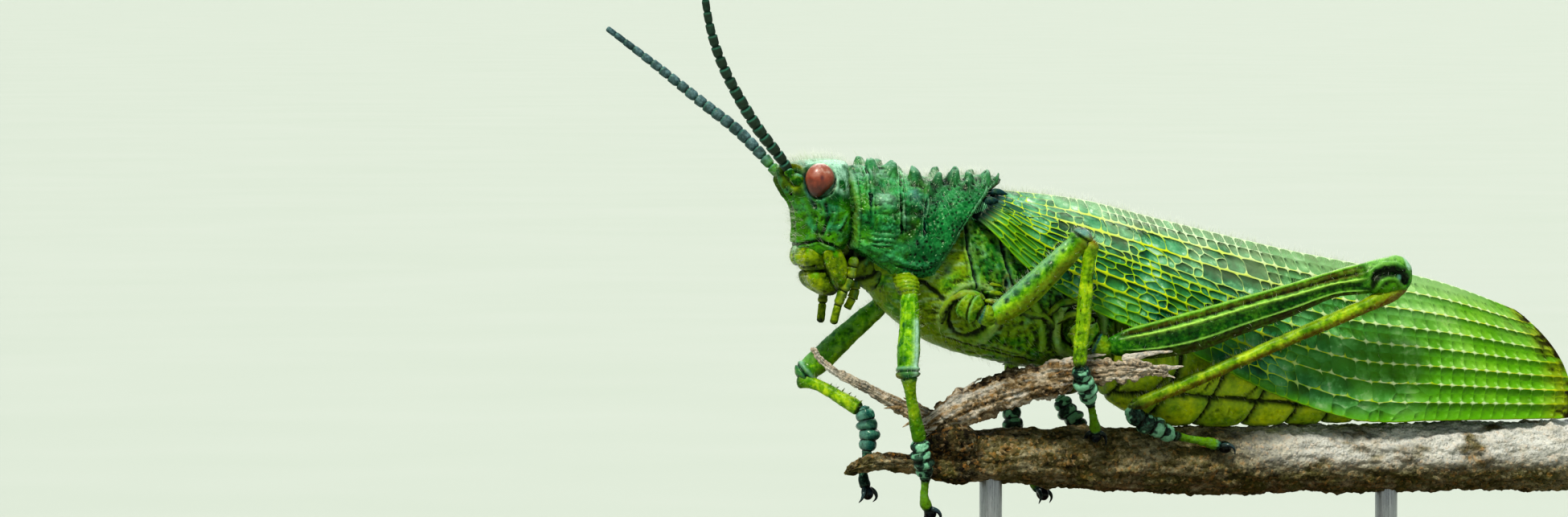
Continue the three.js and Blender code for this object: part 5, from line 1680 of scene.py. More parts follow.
# The rolls round the hips: the folded path of each and its half thickness.
HIP_FOLDS = (
    ([(-25.0, 3.6, 27.4), (-24.9, 4.1, 28.9), (-24.1, 4.7, 29.8), (-23.0, 5.1, 30.1), (-21.9, 5.0, 29.8),
      (-21.3, 4.9, 29.0)], 0.46),
    ([(-24.0, 4.3, 28.9), (-23.2, 4.7, 29.3), (-22.3, 4.9, 29.2)], 0.34),
    ([(-21.9, 4.8, 30.9), (-20.9, 5.0, 30.9), (-19.8, 5.1, 30.7)], 0.3),
    ([(-21.7, 4.9, 30.25), (-20.8, 5.2, 30.15), (-19.8, 5.2, 29.95)], 0.34),
    ([(-21.6, 5.0, 29.5), (-20.7, 5.3, 29.3), (-19.8, 5.3, 29.0)], 0.34),
    ([(-15.6, 4.8, 28.0), (-14.6, 5.1, 29.0), (-13.2, 5.2, 29.3), (-11.8, 5.0, 28.9),
      (-10.9, 4.8, 28.0)], 0.45),
    ([(-14.8, 4.8, 27.3), (-13.8, 5.1, 28.0), (-12.6, 5.2, 28.2), (-11.4, 5.0, 27.6)], 0.4),
    ([(-18.9, 4.9, 28.9), (-17.4, 5.1, 28.3), (-15.8, 4.9, 27.9), (-14.6, 4.4, 26.6)], 0.42),
)


def make_hip_folds(finish):
    """Rolls of shell stacked round the middle and hind hips: yellow, with teal and a painted sheen on their
    upper sides and painted shade on their undersides.
    """
    for word, side in SIDES.items():
        rolls = []
        for n, (path, size) in enumerate(HIP_FOLDS):
            profile = [(0, size * 0.6), (0.3, size), (0.7, size), (1, size * 0.6)]
            roll = limb(f"roll_{n}", folded(side, path), profile, flat=0.85, sides=18, rings=24, levels=1,
                        up=(0, 1, 0.2), blunt=0.2)
            clay = Clay(roll)
            clay.rough(0.7, 0.07, 85 + n)
            clay.crinkle(0.6, 0.04, 86 + n)
            clay.fleck(0.8, 87 + n, -0.8, 0.2, yellow=1.0)
            # Painted light: teal and a pale sheen on the upper sides, and painted shade underneath.
            clay.fleck(0.7, 88, -0.5, 0.5, ramp(clay.out[:, 2], 0.5, 0.9), teal=0.5, frost=0.2)
            clay.tint(ramp(-clay.out[:, 2], 0.0, 0.5), night=0.9)
            clay.fleck(0.5, 89, 0.4, 0.8, rust=0.5)
            clay.done()
            rolls.append(roll)
        folds = joined(f"hip_rolls_{word}", rolls)
        finished(folds, finish["trunk"], slot="body_shell")


FEMUR_PROFILE = {
    "fore": [(0, 0.72), (0.1, 0.86), (0.3, 0.95), (0.55, 1.05), (0.8, 1.08), (0.88, 1.0), (0.94, 1.12),
             (1, 0.9)],
    "middle": [(0, 0.85), (0.12, 1.05), (0.3, 1.22), (0.55, 1.12), (0.78, 1.0), (0.87, 0.92), (0.94, 1.02),
               (1, 0.72)],
}
FEMUR_SPOTS = {"from": 0.2, "to": 0.84, "count": 9, "way": (-0.35, 0.72, 0.6), "size": 0.3}


def make_femur(name, joints, finish):
    pair, side = leg_sides(name)
    up = (-0.25, -1, 0.2) if name == "fore_left" else (0, 0, 1)
    path = reach_back(joints["femur"], 0.2)
    femur = limb(f"femur_{name}", folded(side, path), FEMUR_PROFILE[pair], flat=0.92, sides=18, rings=34,
                 levels=2, up=up, blunt=0.05)
    clay = Clay(femur)
    clay.lift += 0.1 * clay.ring(0.9, 0.02) - 0.14 * clay.ring(0.93, 0.012)
    clay.tint(clay.ring(0.93, 0.015), night=0.7)
    clay.tint(ramp(clay.along, 0.04, 0.0), blue=0.6)
    # Faint keels run the length of the upper and lower sides.
    for keel in (-2.0, -1.1, 1.2, 2.1):
        away = half_turn_from(clay.turn, keel)
        clay.lift += 0.07 * bell(away, 0.12) * ramp(clay.along, 0.05, 0.2) * ramp(1 - clay.along, 0.12, 0.2)
    centres = flow(path, np.linspace(0, 1, 60))
    radius = np.interp(0.5, *zip(*FEMUR_PROFILE[pair]))
    if pair == "middle":
        for share in np.linspace(FEMUR_SPOTS["from"], FEMUR_SPOTS["to"], FEMUR_SPOTS["count"]):
            at = centres[int(share * 59)] + unit(FEMUR_SPOTS["way"]) * radius
            clay.spot(at, FEMUR_SPOTS["size"] * (1.15 - 0.4 * share), 0.0, hard=4, teal=0.8, night=0.65)
        below = clay.out[:, 2] - 0.6 * clay.out[:, 0]
        clay.tint(ramp(below, 0.5, -0.2), rust=0.3, yellow=0.5)
        # Painted sheen, with teal, on the side that faces up.
        clay.tint(ramp(below, 0.5, 1.1) * ramp(clay.along, 0.93, 0.8), frost=0.3, teal=0.5)
        cap = ramp(clay.along, 0.92, 0.95)
        clay.tint(cap * ramp(clay.out[:, 2], -0.1, 0.5), frost=0.8, blue=0.6)
        clay.tint(cap * ramp(clay.out[:, 2], 0.75, 0.95), night=0.7)
        clay.spot((-12.6, 8.6, 34.8), (0.5, 1.2, 0.45), 0.05, rust=0.9, yellow=0.6)
        clay.tint(ramp(pebbles(clay.points, 0.7, 91), 0.3, 0.15) * ramp(below, 0.2, -0.2), night=0.55)
    else:
        streak = centres[18:57:6] + np.array([0.36, 0.93, 0.0]) * radius
        if name == "fore_left":
            # Painted highlight: a pale streak down the thigh.
            clay.line(streak, 0.3, 0.06, frost=1.0, mint=0.5)
        else:
            # Painted sheen on the upper side; painted shade with some rust on the underside.
            clay.tint(ramp(clay.out[:, 2], 0.3, 0.95), frost=0.2, teal=0.3)
            clay.tint(ramp(clay.out[:, 2], -0.1, -0.7), rust=0.3, night=0.2)
        clay.tint(ramp(pebbles(clay.points, 1.0, 91), 0.34, 0.2) * ramp(-clay.out[:, 0], 0.0, 0.6),
                  teal=0.6, night=0.25)
        knee = ramp(clay.along, 0.87, 0.9)
        clay.tint(knee, teal=0.8, blue=0.2)
        clay.tint(clay.ring(0.9, 0.015), frost=0.35)
        end = centres[-3]
        for way in (-1, 1):
            clay.spot(end + (way * 0.95, 0.2, 0.1), 0.42, 0.22, rust=0.9)
        clay.fleck(1.0, 93, 0.0, 0.6, 1 - knee, yellow=0.4, bright=0.2)
    clay.press()
    clay.rough(0.35, 0.025, 92)
    clay.rough(0.9, 0.05, 94)
    clay.done()
    finished(femur, finish["leg"], f"femur_{name}", slot="leg_shell")


def hind_ring(path):
    """Rings of the jumping femur: a keeled, flattened section which swells into knee lobes."""
    keys = np.array(HIND_FEMUR)
    hip, knee = np.asarray(path[0]), np.asarray(path[-1])
    heading = unit(knee - hip)
    side = unit(np.cross((0, 0, 1.0), heading))
    rise_way = np.cross(heading, side)

    def place(along, across, above):
        share = to_the_ends(along, HIND_RINGS_TO_THE_ENDS)
        rise, half = swell(keys[:, (0, 1)], share), swell(keys[:, (0, 2)], share)
        end = blunted(share, 0.02, 0.8)
        flat = np.interp(share, *HIND_FLATNESS)
        narrow = 1 - 0.22 * np.abs(above) ** 2
        return (hip + share[:, None] * (knee - hip) + rise_way * rise[:, None]
                + side * (boxed(across, 0.62) * narrow * half * flat * end)[:, None]
                + rise_way * (above * half * end)[:, None])
    return place


def make_hind_femur(name, joints, finish):
    side = leg_sides(name)[1]
    path = folded(side, joints["femur"])
    femur = draw_tube(f"femur_{name}", 32, 48, 2, hind_ring(path))
    clay = Clay(femur)
    share = to_the_ends(clay.along, HIND_RINGS_TO_THE_ENDS)
    rise = np.sin(clay.turn)
    shaft = ramp(share, 0.03, 0.1) * ramp(share, 0.86, 0.8)
    upper, lower = np.interp(share, *UPPER_RIDGE), np.interp(share, *LOWER_RIDGE)
    # Upper and lower keels with a hollowed face between them.
    keels = ((0.97, 0.12, 0.05), (upper, 0.2, 0.07), (lower, 0.15, 0.06), (-0.97, 0.1, 0.06))
    for height, lift, width in keels:
        clay.lift += lift * bell(rise - height, width) * shaft
    clay.lift -= 0.18 * bell(rise - (upper + 0.97) / 2, 0.12) * shaft
    clay.lift -= 0.14 * bell(rise - (upper + lower) / 2, 0.25) * shaft
    clay.tint(ramp(rise, 0.9, 0.97) * shaft, lime=0.6, mint=0.4)
    clay.tint(ramp(rise, upper + 0.16, upper + 0.26) * ramp(rise, 0.95, 0.86) * shaft, rust=0.5, night=0.3)
    clay.tint(bell(rise - upper, 0.12) * shaft, mint=0.95, bright=0.3)
    face = ramp(rise, upper - 0.12, upper - 0.24) * ramp(rise, lower, lower + 0.12) * shaft
    clay.tint(face, night=0.4, teal=0.12)
    clay.tint(bell(rise - lower, 0.06) * shaft, mint=0.6, bright=0.2)
    clay.tint(ramp(rise, lower - 0.06, lower - 0.16) * shaft, rust=0.4, night=0.4)
    # Knee: a black crescent over a yellow-green lobe, with a pale hairy cap.
    unrolled = (share * KNEE_UNROLLED["along"], rise * KNEE_UNROLLED["round"], np.zeros(len(share)))
    away, _ = from_line(np.stack(unrolled, axis=1), KNEE_CRESCENT)
    knee = ramp(share, 0.845, 0.87)
    clay.lift -= 0.34 * bell(away, 0.3) * knee
    clay.lift += 0.16 * bell(away - 0.62, 0.16) * knee
    inside = ramp(share, 0.935, 0.945) * ramp(share, 0.972, 0.966)
    inside = inside * ramp(rise, -0.5, -0.35) * ramp(rise, 0.35, 0.2)
    clay.tint(np.maximum(ramp(away, 0.52, 0.36), inside) * knee, night=1.0)
    lobe = np.hypot((share - 0.9) / 0.045, (rise + 0.45) / 0.5)
    clay.lift += 0.2 * np.exp(-(lobe**4))
    clay.tint(np.exp(-(lobe**4)), lime=0.8, yellow=0.35)
    clay.tint(np.exp(-(np.hypot((share - 0.899) / 0.009, (rise + 0.36) / 0.14) ** 2)), night=0.8)
    glint = np.exp(-(np.hypot((share - 0.947) / 0.012, (rise + 0.12) / 0.16) ** 4))
    clay.lift += 0.12 * glint
    clay.tint(ramp(share, 0.845, 0.86) * ramp(rise, 0.45, 0.7), bright=0.3, mint=0.3)
    clay.tint(ramp(share, 0.972, 0.98) * ramp(rise, 0.0, 0.3), frost=0.7, yellow=0.5)
    clay.tint(ramp(share, 0.86, 0.9) * ramp(rise, -0.85, -0.95), rust=0.8)
    clay.press()
    clay.masks["night"] = clay.masks["night"] * (1 - 0.9 * glint)
    clay.tint(glint, blue=0.7, frost=0.35)
    clay.rough(0.5, 0.03, 95)
    clay.rough(0.2, 0.015, 96)
    clay.tint(ramp(pebbles(clay.points, 0.7, 97), 0.24, 0.1) * face, lime=0.5)
    clay.done()
    finished(femur, finish["thigh"], f"femur_{name}", slot="leg_shell")


TIBIA_PROFILE = {
    "fore": [(0, 0.6), (0.06, 0.74), (0.2, 0.56), (0.5, 0.56), (0.85, 0.68), (1, 0.66)],
    "middle": [(0, 0.6), (0.06, 0.76), (0.15, 0.64), (0.5, 0.68), (0.9, 0.64), (1, 0.62)],
    "hind": [(0, 0.56), (0.03, 0.74), (0.08, 0.82), (0.14, 0.7), (0.3, 0.64), (0.6, 0.62), (0.92, 0.64),
             (1, 0.62)],
}
# Which way a shin's taller side faces, for each leg.
SHIN_UP = {"fore_left": (-0.6, -1, 0.3), "fore_right": (0, 0, 1), "middle_left": (1, 0, 0),
           "middle_right": (1, 0, 0), "hind_left": (0, 0, 1), "hind_right": (0, 0, 1)}


def spine(name, foot, tip, width):
    """One small thorn, made from a cone that leans from foot to tip."""
    deselect()
    bpy.ops.mesh.primitive_cone_add(vertices=6, radius1=1, radius2=0.12, depth=1, end_fill_type="NGON")
    cone = named(name)
    raw = grab(cone) * MM
    foot, tip = np.asarray(foot, float), np.asarray(tip, float)
    heading = tip - foot
    side = unit(np.cross(heading, (0.3, 0.9, 0.1)))
    rise = np.cross(unit(heading), side)
    share = raw[:, 2] + 0.5
    put(cone, foot + share[:, None] * heading + width * (raw[:, :1] * side + raw[:, 1:2] * rise))
    remember(cone, night=ramp(share, 0.3, 0.8) * 0.9, rust=np.full(len(raw), 0.5))
    return cone


def row_of_spines(leg, clay, turn_at, shares, length, lean):
    """Thorns along one side of a shin, rooted on its surface."""
    made = []
    for n, share in enumerate(shares):
        at = int(np.argmin(np.hypot((clay.along - share) * 12, half_turn_from(clay.turn, turn_at))))
        foot, out = clay.points[at], clay.out[at]
        onward = int(np.argmin(np.abs(clay.along - min(share + 0.06, 1)) * 12))
        ahead = clay.points[onward] - foot
        ahead = ahead / (np.linalg.norm(ahead) + 1e-6)
        tip = foot + (out + lean * ahead) * length
        made.append(spine(f"spine_{leg}_{n}", foot - out * 0.1, tip, 0.1))
    return made


def make_tibia(name, joints, finish):
    pair, side = leg_sides(name)
    path = reach_back(joints["tibia"], 0.55)
    if pair == "hind":
        knee = np.asarray(joints["femur"][-1])
        path = [tuple(knee + (-0.15, -0.1, -1.05)), tuple(knee + (-1.1, -0.2, -1.55))] + joints["tibia"][1:]
    path = reach_back(path[::-1], 0.4)[::-1]
    shin = limb(f"tibia_{name}", folded(side, path), TIBIA_PROFILE[pair], flat=0.95, sides=14, rings=30,
                levels=2, up=SHIN_UP[name], blunt=0.06)
    clay = Clay(shin)
    rise = np.sin(clay.turn)
    clay.lift += 0.06 * clay.ring(0.06, 0.03)
    clay.tint(ramp(clay.along, 0.94, 0.98), night=0.7, teal=0.4)
    groove = half_turn_from(clay.turn, math.pi if side < 0 else 0.0)
    clay.lift -= 0.06 * bell(groove, 0.3) * ramp(clay.along, 0.1, 0.25)
    clay.fleck(1.2, 99, -0.1, 0.7, bell(groove, 0.4), night=0.3)
    if pair == "hind":
        clay.tint(ramp(-rise, -0.2, 0.5), rust=0.75)
        clay.tint(ramp(rise, 0.5, 0.95), yellow=0.7)
        clay.tint(ramp(clay.along, 0.2, 0.05), yellow=0.7, rust=0.3)
        clay.fleck((1.6, 0.5, 0.5), 100, 0.2, 0.8, lime=0.4, night=0.15)
    if pair == "fore":
        clay.tint(ramp(clay.along, 0.12, 0.03), teal=0.8, night=0.5)
        clay.fleck((0.8, 0.8, 1.6), 98, -0.5, 0.4, lime=0.7, night=0.2)
    if pair == "middle":
        clay.tint(ramp(clay.along, 0.1, 0.03), rust=0.7)
    clay.press()
    clay.rough(0.35, 0.025, 101)
    clay.rough(1.0, 0.05, 102)
    clay.done()
    thorns = []
    if pair == "hind":
        for turn_at in (-1.1, -2.0):
            thorns += row_of_spines(f"{name}_{turn_at}", clay, turn_at, np.linspace(0.34, 0.9, 9), 0.42, 0.5)
    else:
        shares = np.linspace(0.45, 0.93, 6)
        low = {"fore_left": -1.2, "fore_right": 1.2}.get(name, -1.4)
        thorns += row_of_spines(name, clay, low, shares, 0.42, 0.6)
        thorns += row_of_spines(name + "_b", clay, low - 0.9, shares, 0.34, 0.6)
    shin = joined(f"tibia_{name}", [shin] + thorns)
    finished(shin, finish["shin"], f"tibia_{name}", slot="leg_shell")


TARSUS_PROFILE = [(0, 0.5), (0.06, 0.64), (0.5, 0.6), (0.58, 0.4), (0.75, 0.34), (0.93, 0.5), (1, 0.4)]
TARSUS_PADS = (0.04, 0.17, 0.29, 0.41, 0.54)  # where the pads of a foot start and end


def make_tarsus(name, joints, finish):
    """The foot: a padded chain of joints, a slim last joint, a glossy round pad and two claws."""
    path = folded(leg_sides(name)[1], reach_back(joints["tarsus"], 0.3))
    foot = limb(f"tarsus_{name}", path, TARSUS_PROFILE, sides=18, rings=44, levels=2, up=(0.2, 1, 0.1),
                blunt=0.07)
    clay = Clay(foot)
    for n, (start, stop) in enumerate(zip(TARSUS_PADS[:-1], TARSUS_PADS[1:])):
        phase = np.clip((clay.along - start) / (stop - start), 0, 1)
        here = (clay.along > start) & (clay.along < stop)
        lean = 1 + 0.5 * np.sin(clay.turn + n * 2.1)
        clay.lift += np.where(here, 0.24 * np.sin(np.pi * phase) ** 0.7 * lean - 0.12, 0)
        clay.tint(clay.ring(stop, 0.012), night=0.95)
    padded = ramp(clay.along, 0.57, 0.54)
    if name == "fore_right":
        clay.tint(padded, blue=0.35, teal=0.3)
        # Painted highlight on the front of the pads.
        clay.tint(padded * ramp(-clay.out[:, 0], 0.1, 0.9), frost=0.3)
        clay.tint(ramp(clay.along, 0.53, 0.6), night=0.6)
    else:
        patch = ramp(ripple(clay.points, 0.55, 103, 2), -0.05, 0.2)
        clay.tint(padded * patch, bright=0.7, frost=0.45)
        clay.tint(padded * (1 - patch), night=0.75, blue=0.2)
        clay.tint(ramp(clay.along, 0.56, 0.6) * ramp(clay.along, 0.96, 0.9), yellow=0.8, lime=0.5)
        clay.tint(clay.ring(0.57, 0.02), night=0.9)
    clay.tint(ramp(clay.along, 0.93, 0.97), night=0.8, blue=0.2)
    clay.press()
    clay.rough(0.4, 0.05, 104)
    clay.done()
    end, before = np.asarray(path[-1]), np.asarray(path[-2])
    claws = make_claws(name, end, unit(end - before))
    finished(foot, finish["foot"], f"tarsus_{name}", slot="dark_horn")
    finished(claws, finish["claw"], slot="dark_horn")


def make_claws(name, at, heading):
    """A glossy pad between two hooked claws, at the end of a foot."""
    deselect()
    bpy.ops.mesh.primitive_uv_sphere_add(segments=20, ring_count=12, radius=1)
    pad = named(f"pad_{name}")
    ball = grab(pad) * MM
    across = np.cross(heading, (0.0, 0.0, -1.0))
    across /= np.linalg.norm(across) + 1e-9
    under = np.cross(across, heading)
    long, wide, deep = (ball[:, k:k + 1] for k in range(3))
    put(pad, at + heading * 0.22 + 0.66 * long * heading + 0.55 * wide * across + 0.55 * deep * under)
    subdivide(pad, 1)
    pieces = [pad]
    for way in (-1, 1):
        root = at + across * way * 0.3
        path = [root - heading * 0.2, root + heading * 0.25 + across * way * 0.42 - under * 0.25,
                root + heading * 0.75 + across * way * 0.62 - under * 0.1,
                root + heading * 1.0 + across * way * 0.6 + under * 0.45]
        pieces.append(limb(f"claw_{name}_{way}", [tuple(p) for p in path], [(0, 0.26), (0.4, 0.2), (1, 0.03)],
                           sides=10, rings=10, levels=1, up=tuple(across), blunt=0.05))
    claws = joined(f"claws_{name}", pieces)
    clay = Clay(claws)
    # Painted reflection: the upper sides go blue.
    clay.tint(ramp(clay.out[:, 2], 0.5, 1.0), blue=0.35)
    clay.done()
    face_out(claws)
    return claws


def make_legs(finish):
    make_hip_folds(finish)
    for name, joints in LEGS.items():
        make_coxa(name, joints, finish)
        if name.startswith("hind"):
            make_hind_femur(name, joints, finish)
        else:
            make_femur(name, joints, finish)
        make_tibia(name, joints, finish)
        make_tarsus(name, joints, finish)


# ---- Perch ----

# x, height of the axis, radius
BRANCH_RINGS = [
    (-33.0, 14.3, 0.3), (-31.0, 15.05, 0.9), (-29.0, 15.5, 1.1), (-26.5, 15.3, 1.2), (-24.0, 15.65, 1.6),
    (-21.4, 15.6, 2.2), (-17.6, 15.6, 2.4), (-10.8, 15.3, 2.65), (-4.6, 15.0, 2.85), (9.0, 14.8, 2.9),
    (25.0, 14.7, 2.95), (41.5, 14.6, 3.1),
]
BARK_PITS = 26


def branch_ring(along, across, above):
    keys = np.array([ring[0] for ring in BRANCH_RINGS])
    x = mix(keys[0], keys[-1], along)
    z = swell([ring[:2] for ring in BRANCH_RINGS], x)
    radius = swell([(ring[0], ring[2]) for ring in BRANCH_RINGS], x)
    return np.stack([x, across * radius * 0.98, z + above * radius], axis=1)


def make_branch(finish):
    branch = draw_tube("perch_branch", 36, 76, 2, branch_ring)
    clay = Clay(branch)
    x, z_out = clay.points[:, 0], clay.out[:, 2]
    broken = ramp(-x, 19.5, 23.5)
    stretched = clay.points * (0.22, 1, 1)
    # The root of the torn slab fills the upper side near the broken end.
    torn_root = np.exp(-(np.abs((x + 23.3) / 2.3) ** 4))
    clay.lift += 1.7 * torn_root * ramp(z_out, -0.1, 0.7) + 0.8 * torn_root * ramp(-z_out, 0.0, 0.7)
    clay.lift += 0.22 * ripple(stretched, 0.75, 111, 4)
    clay.rough(1.5, 0.16, 112)
    clay.lift -= 0.1 * broken + 0.35 * broken * np.abs(ripple(stretched, 0.5, 113, 3))
    for n in range(BARK_PITS):
        where, turn_at = chance(n, 1, 0, 115), chance(n, 2, 0, 115) * RAYS - math.pi
        size = 0.25 + 0.5 * chance(n, 3, 0, 115)
        across = half_turn_from(clay.turn, turn_at) * 2.6
        away = np.hypot((x - mix(-20.0, 40.5, where)) / (size * 1.5), across / size)
        clay.lift += 0.14 * bell(away - 1.0, 0.4) - 0.2 * bell(away, 0.6)
        clay.tint(bell(away, 0.7), night=0.6)
        clay.tint(bell(away - 1.1, 0.4), tan=0.35)
    # The broken end is hollow and dark on the upper side, with ragged fibres.
    hollow = broken * ramp(z_out, -0.3, 0.4) * ramp(x, -30.5, -28.5)
    clay.lift -= 0.5 * hollow * (1 - torn_root)
    clay.fleck(0.6, 117, -0.7, 0.1, hollow, night=0.85)
    clay.fleck(0.8, 122, -0.6, 0.2, torn_root, night=0.9)
    clay.tint(ramp(-x, 13.5, 18.0) * ramp(z_out, 0.3, 0.9), night=0.5)
    clay.press()
    clay.rough(0.34, 0.12, 116, octaves=2)
    clay.crinkle((1.2, 0.7, 0.7), 0.1, 123, ramp(x, -22, -10))
    # Painted light: pale patches on the upper side, from the middle towards the far end.
    lit = ramp(z_out, -0.5, 0.3) * ramp(x, 0, 14)
    clay.tint(lit * ramp(ripple(clay.points * (0.5, 1, 1), 1.3, 118), -0.9, 0.0), frost=1.0)
    clay.fleck(1.8, 119, -0.6, 0.4, ramp(-z_out, 0.0, 0.8), moss=0.7)
    clay.tint(ramp(ripple(clay.points * (0.6, 1, 1), 0.8, 120), 0.4, 0.8), night=0.5)
    clay.tint(broken * ramp(ripple(stretched, 0.4, 121), 0.1, 0.8), tan=0.5)
    clay.done()
    finished(branch, finish["bark"], "perch_branch", slot="bark")


# Along the slab torn off the branch: its middle, half thickness and half height.
SPLINTER = [
    (-25.6, -0.4, 18.2, 0.6, 0.7), (-23.4, -0.9, 19.3, 0.9, 1.4), (-20.5, -2.0, 20.7, 0.95, 1.6),
    (-17.0, -3.5, 22.0, 0.9, 1.6), (-13.2, -5.3, 22.9, 0.8, 1.4), (-10.0, -6.7, 23.3, 0.6, 1.15),
    (-7.4, -7.5, 23.3, 0.45, 0.8), (-5.4, -7.8, 23.2, 0.3, 0.35),
]


def make_splinter(finish):
    shape = np.asarray(SPLINTER)
    shares = np.linspace(0, 1, len(shape))
    slab = limb("slab", [tuple(p) for p in shape[:, :3]], list(zip(shares, shape[:, 4])),
                flat=[(s, w / h) for s, w, h in zip(shares, shape[:, 3], shape[:, 4])], sides=26, rings=50,
                levels=2, blunt=0.03)
    clay = Clay(slab)
    rise = np.sin(clay.turn)
    fibre = np.stack([clay.along * 5, rise * 4, np.cos(clay.turn) * 1.5], axis=1)
    clay.lift += 0.12 * ripple(fibre, 0.6, 131, 3) + 0.2 * ripple(clay.points, 0.8, 132, 3)
    edge = np.abs(rise) ** 6
    clay.lift += edge * 0.26 * ripple(clay.points, 0.55, 133, 2)
    clay.lift -= 0.3 * bell(rise - 0.15 - 0.3 * clay.along, 0.12) * ramp(clay.along, 0.72, 0.95)
    clay.press()
    clay.rough(0.26, 0.1, 134, octaves=2)
    clay.crinkle((0.8, 0.6, 0.5), 0.12, 138)
    bark_side = ramp(rise, 0.55, 0.9)
    clay.fleck(0.7, 135, -0.3, 0.4, bark_side * ramp(clay.along, 0.8, 0.4), night=0.8)
    long_grain = ripple(np.stack([clay.along * 7, rise * 3, np.cos(clay.turn)], axis=1), 0.7, 136, 3)
    clay.tint(ramp(long_grain, 0.0, 0.7), frost=0.55)
    clay.tint(ramp(-long_grain, 0.15, 0.6), night=0.65)
    clay.tint(ramp(clay.along, 0.6, 0.95), tan=0.3, frost=0.3)
    clay.fleck(1.6, 139, 0.1, 0.7, ramp(clay.along, 0.5, 0.2), night=0.4)
    clay.done()
    prongs = []
    for n, (base, tip, size) in enumerate((
        ((-9.4, -6.9, 24.2), (-4.9, -7.7, 24.9), 0.42), ((-8.6, -7.2, 23.0), (-3.9, -8.0, 23.6), 0.5),
        ((-8.2, -7.2, 23.4), (-4.7, -7.9, 22.6), 0.32), ((-22.4, -1.2, 21.0), (-20.6, -1.9, 22.6), 0.25),
        ((-12.6, -5.4, 24.2), (-10.6, -6.3, 24.7), 0.3),
    )):
        middle = tuple(mix(np.asarray(base), np.asarray(tip), 0.5) + (0, 0, 0.15))
        prong = limb(f"prong_{n}", [base, middle, tip], [(0, size), (0.5, size * 0.7), (1, 0.08)],
                     flat=0.55, sides=10, rings=12, levels=2, blunt=0.03)
        shaped = Clay(prong)
        shaped.rough((1.0, 0.3, 0.3), 0.1, 140 + n)
        shaped.tint(np.ones(len(shaped.points)), frost=0.5)
        shaped.done()
        prongs.append(prong)
    splinter = joined("perch_splinter", [slab] + prongs)
    finished(splinter, finish["torn"], "perch_splinter", slot="bark")


TWIG = [(-23.6, -0.1, 18.3), (-24.6, -0.1, 18.9), (-27.9, -0.2, 20.3), (-30.7, -0.4, 21.7),
        (-33.3, -0.5, 23.0), (-35.0, -0.4, 24.2), (-35.8, -0.2, 25.4)]


def make_twig(finish):
    twig = limb("twig", TWIG, [(0, 0.9), (0.2, 0.8), (0.38, 0.6), (0.5, 0.5), (0.8, 0.34), (1, 0.16)],
                flat=0.6, sides=16, rings=50, levels=2, blunt=0.02)
    clay = Clay(twig)
    fibre = np.stack([clay.along * 6, np.sin(clay.turn) * 3, np.cos(clay.turn)], axis=1)
    clay.lift += 0.1 * ripple(fibre, 0.6, 151, 3) + 0.06 * ripple(clay.points, 0.5, 152, 3)
    clay.rough(0.8, 0.12, 156, ramp(clay.along, 0.6, 0.2), octaves=2)
    clay.tint(ramp(ripple(fibre, 0.5, 153, 3), 0.0, 0.6) * ramp(clay.along, 0.95, 0.4), night=0.8)
    clay.tint(ramp(clay.along, 0.25, 0.6), frost=0.45, tan=0.3)
    clay.tint(ramp(ripple(fibre, 0.7, 155, 3), 0.1, 0.6), frost=0.5)
    clay.rough(0.25, 0.07, 154, octaves=2)
    clay.done()
    curls = []
    for n, (base, tip) in enumerate((
        ((-27.2, -0.3, 19.9), (-29.4, -0.8, 20.0)), ((-25.8, -0.3, 19.0), (-27.6, -0.7, 18.3)),
        ((-26.0, -0.1, 19.9), (-27.4, -0.4, 20.9)),
    )):
        middle = tuple(mix(np.asarray(base), np.asarray(tip), 0.5) + (0, -0.1, 0.12))
        curl = limb(f"curl_{n}", [base, middle, tip], [(0, 0.3), (1, 0.05)], flat=0.4, sides=8, rings=8,
                    levels=1)
        shaped = Clay(curl)
        shaped.tint(np.ones(len(shaped.points)), tan=0.4, night=0.2)
        shaped.done()
        curls.append(curl)
    twig = joined("perch_twig", [twig] + curls)
    finished(twig, finish["torn"], "perch_twig", slot="bark")


# ---- Stand ----

# The groove round the board's top is three insets, each (width, depth).
BOARD = {"length": 74.0, "width": 42.0, "thick": 4.0, "corner": 8.0,
         "groove": ((0.7, 0.0), (0.5, -0.35), (0.5, 0.35))}


COLLAR = {"wide": 1.9, "high": 0.9}  # its width over the rod's, and its height


def make_stand(finish):
    """A board with rounded corners and a moulded edge, on which two rods stand in small collars."""
    deselect()
    bpy.ops.mesh.primitive_cube_add(size=1)
    board = named("stand_base")
    extent = np.array([BOARD["length"], BOARD["width"], BOARD["thick"]])
    put(board, grab(board) * MM * extent + (0, 0, BOARD["thick"] / 2))
    height = grab(board)[:, 2]
    upright = [height[e.vertices[0]] != height[e.vertices[1]] for e in board.data.edges]
    with editing_only(board, "EDGE", board.data.edges, upright):
        bpy.ops.mesh.bevel(offset=BOARD["corner"] * MM, segments=10, affect="EDGES")
    upper = [face.normal.z > 0.9 for face in board.data.polygons]
    with editing_only(board, "FACE", board.data.polygons, upper):
        for width, depth in BOARD["groove"]:
            bpy.ops.mesh.inset(thickness=width * MM, depth=depth * MM)
    modify(board, "BEVEL", width=0.35 * MM, segments=3, limit_method="ANGLE")
    finished(board, finish["board"], "stand_base", slot="stand_wood")
    bpy.ops.object.shade_smooth_by_angle(angle=math.radians(35))
    for word in ("front", "rear"):
        low, high = (np.array(corner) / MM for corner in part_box(f"stand_rod_{word}"))
        x, y = (low[:2] + high[:2]) / 2
        radius = (high[0] - low[0]) / 2
        rod = turned(f"stand_rod_{word}", (x, y, low[2]), radius, high[2] - low[2], 0.12, 3)
        collar = turned(f"collar_{word}", (x, y, low[2]), radius * COLLAR["wide"], COLLAR["high"], 0.3, 4)
        rod = joined(f"stand_rod_{word}", [rod, collar])
        finished(rod, finish["rod"], f"stand_rod_{word}", slot="stand_steel")
        bpy.ops.object.shade_smooth_by_angle(angle=math.radians(35))


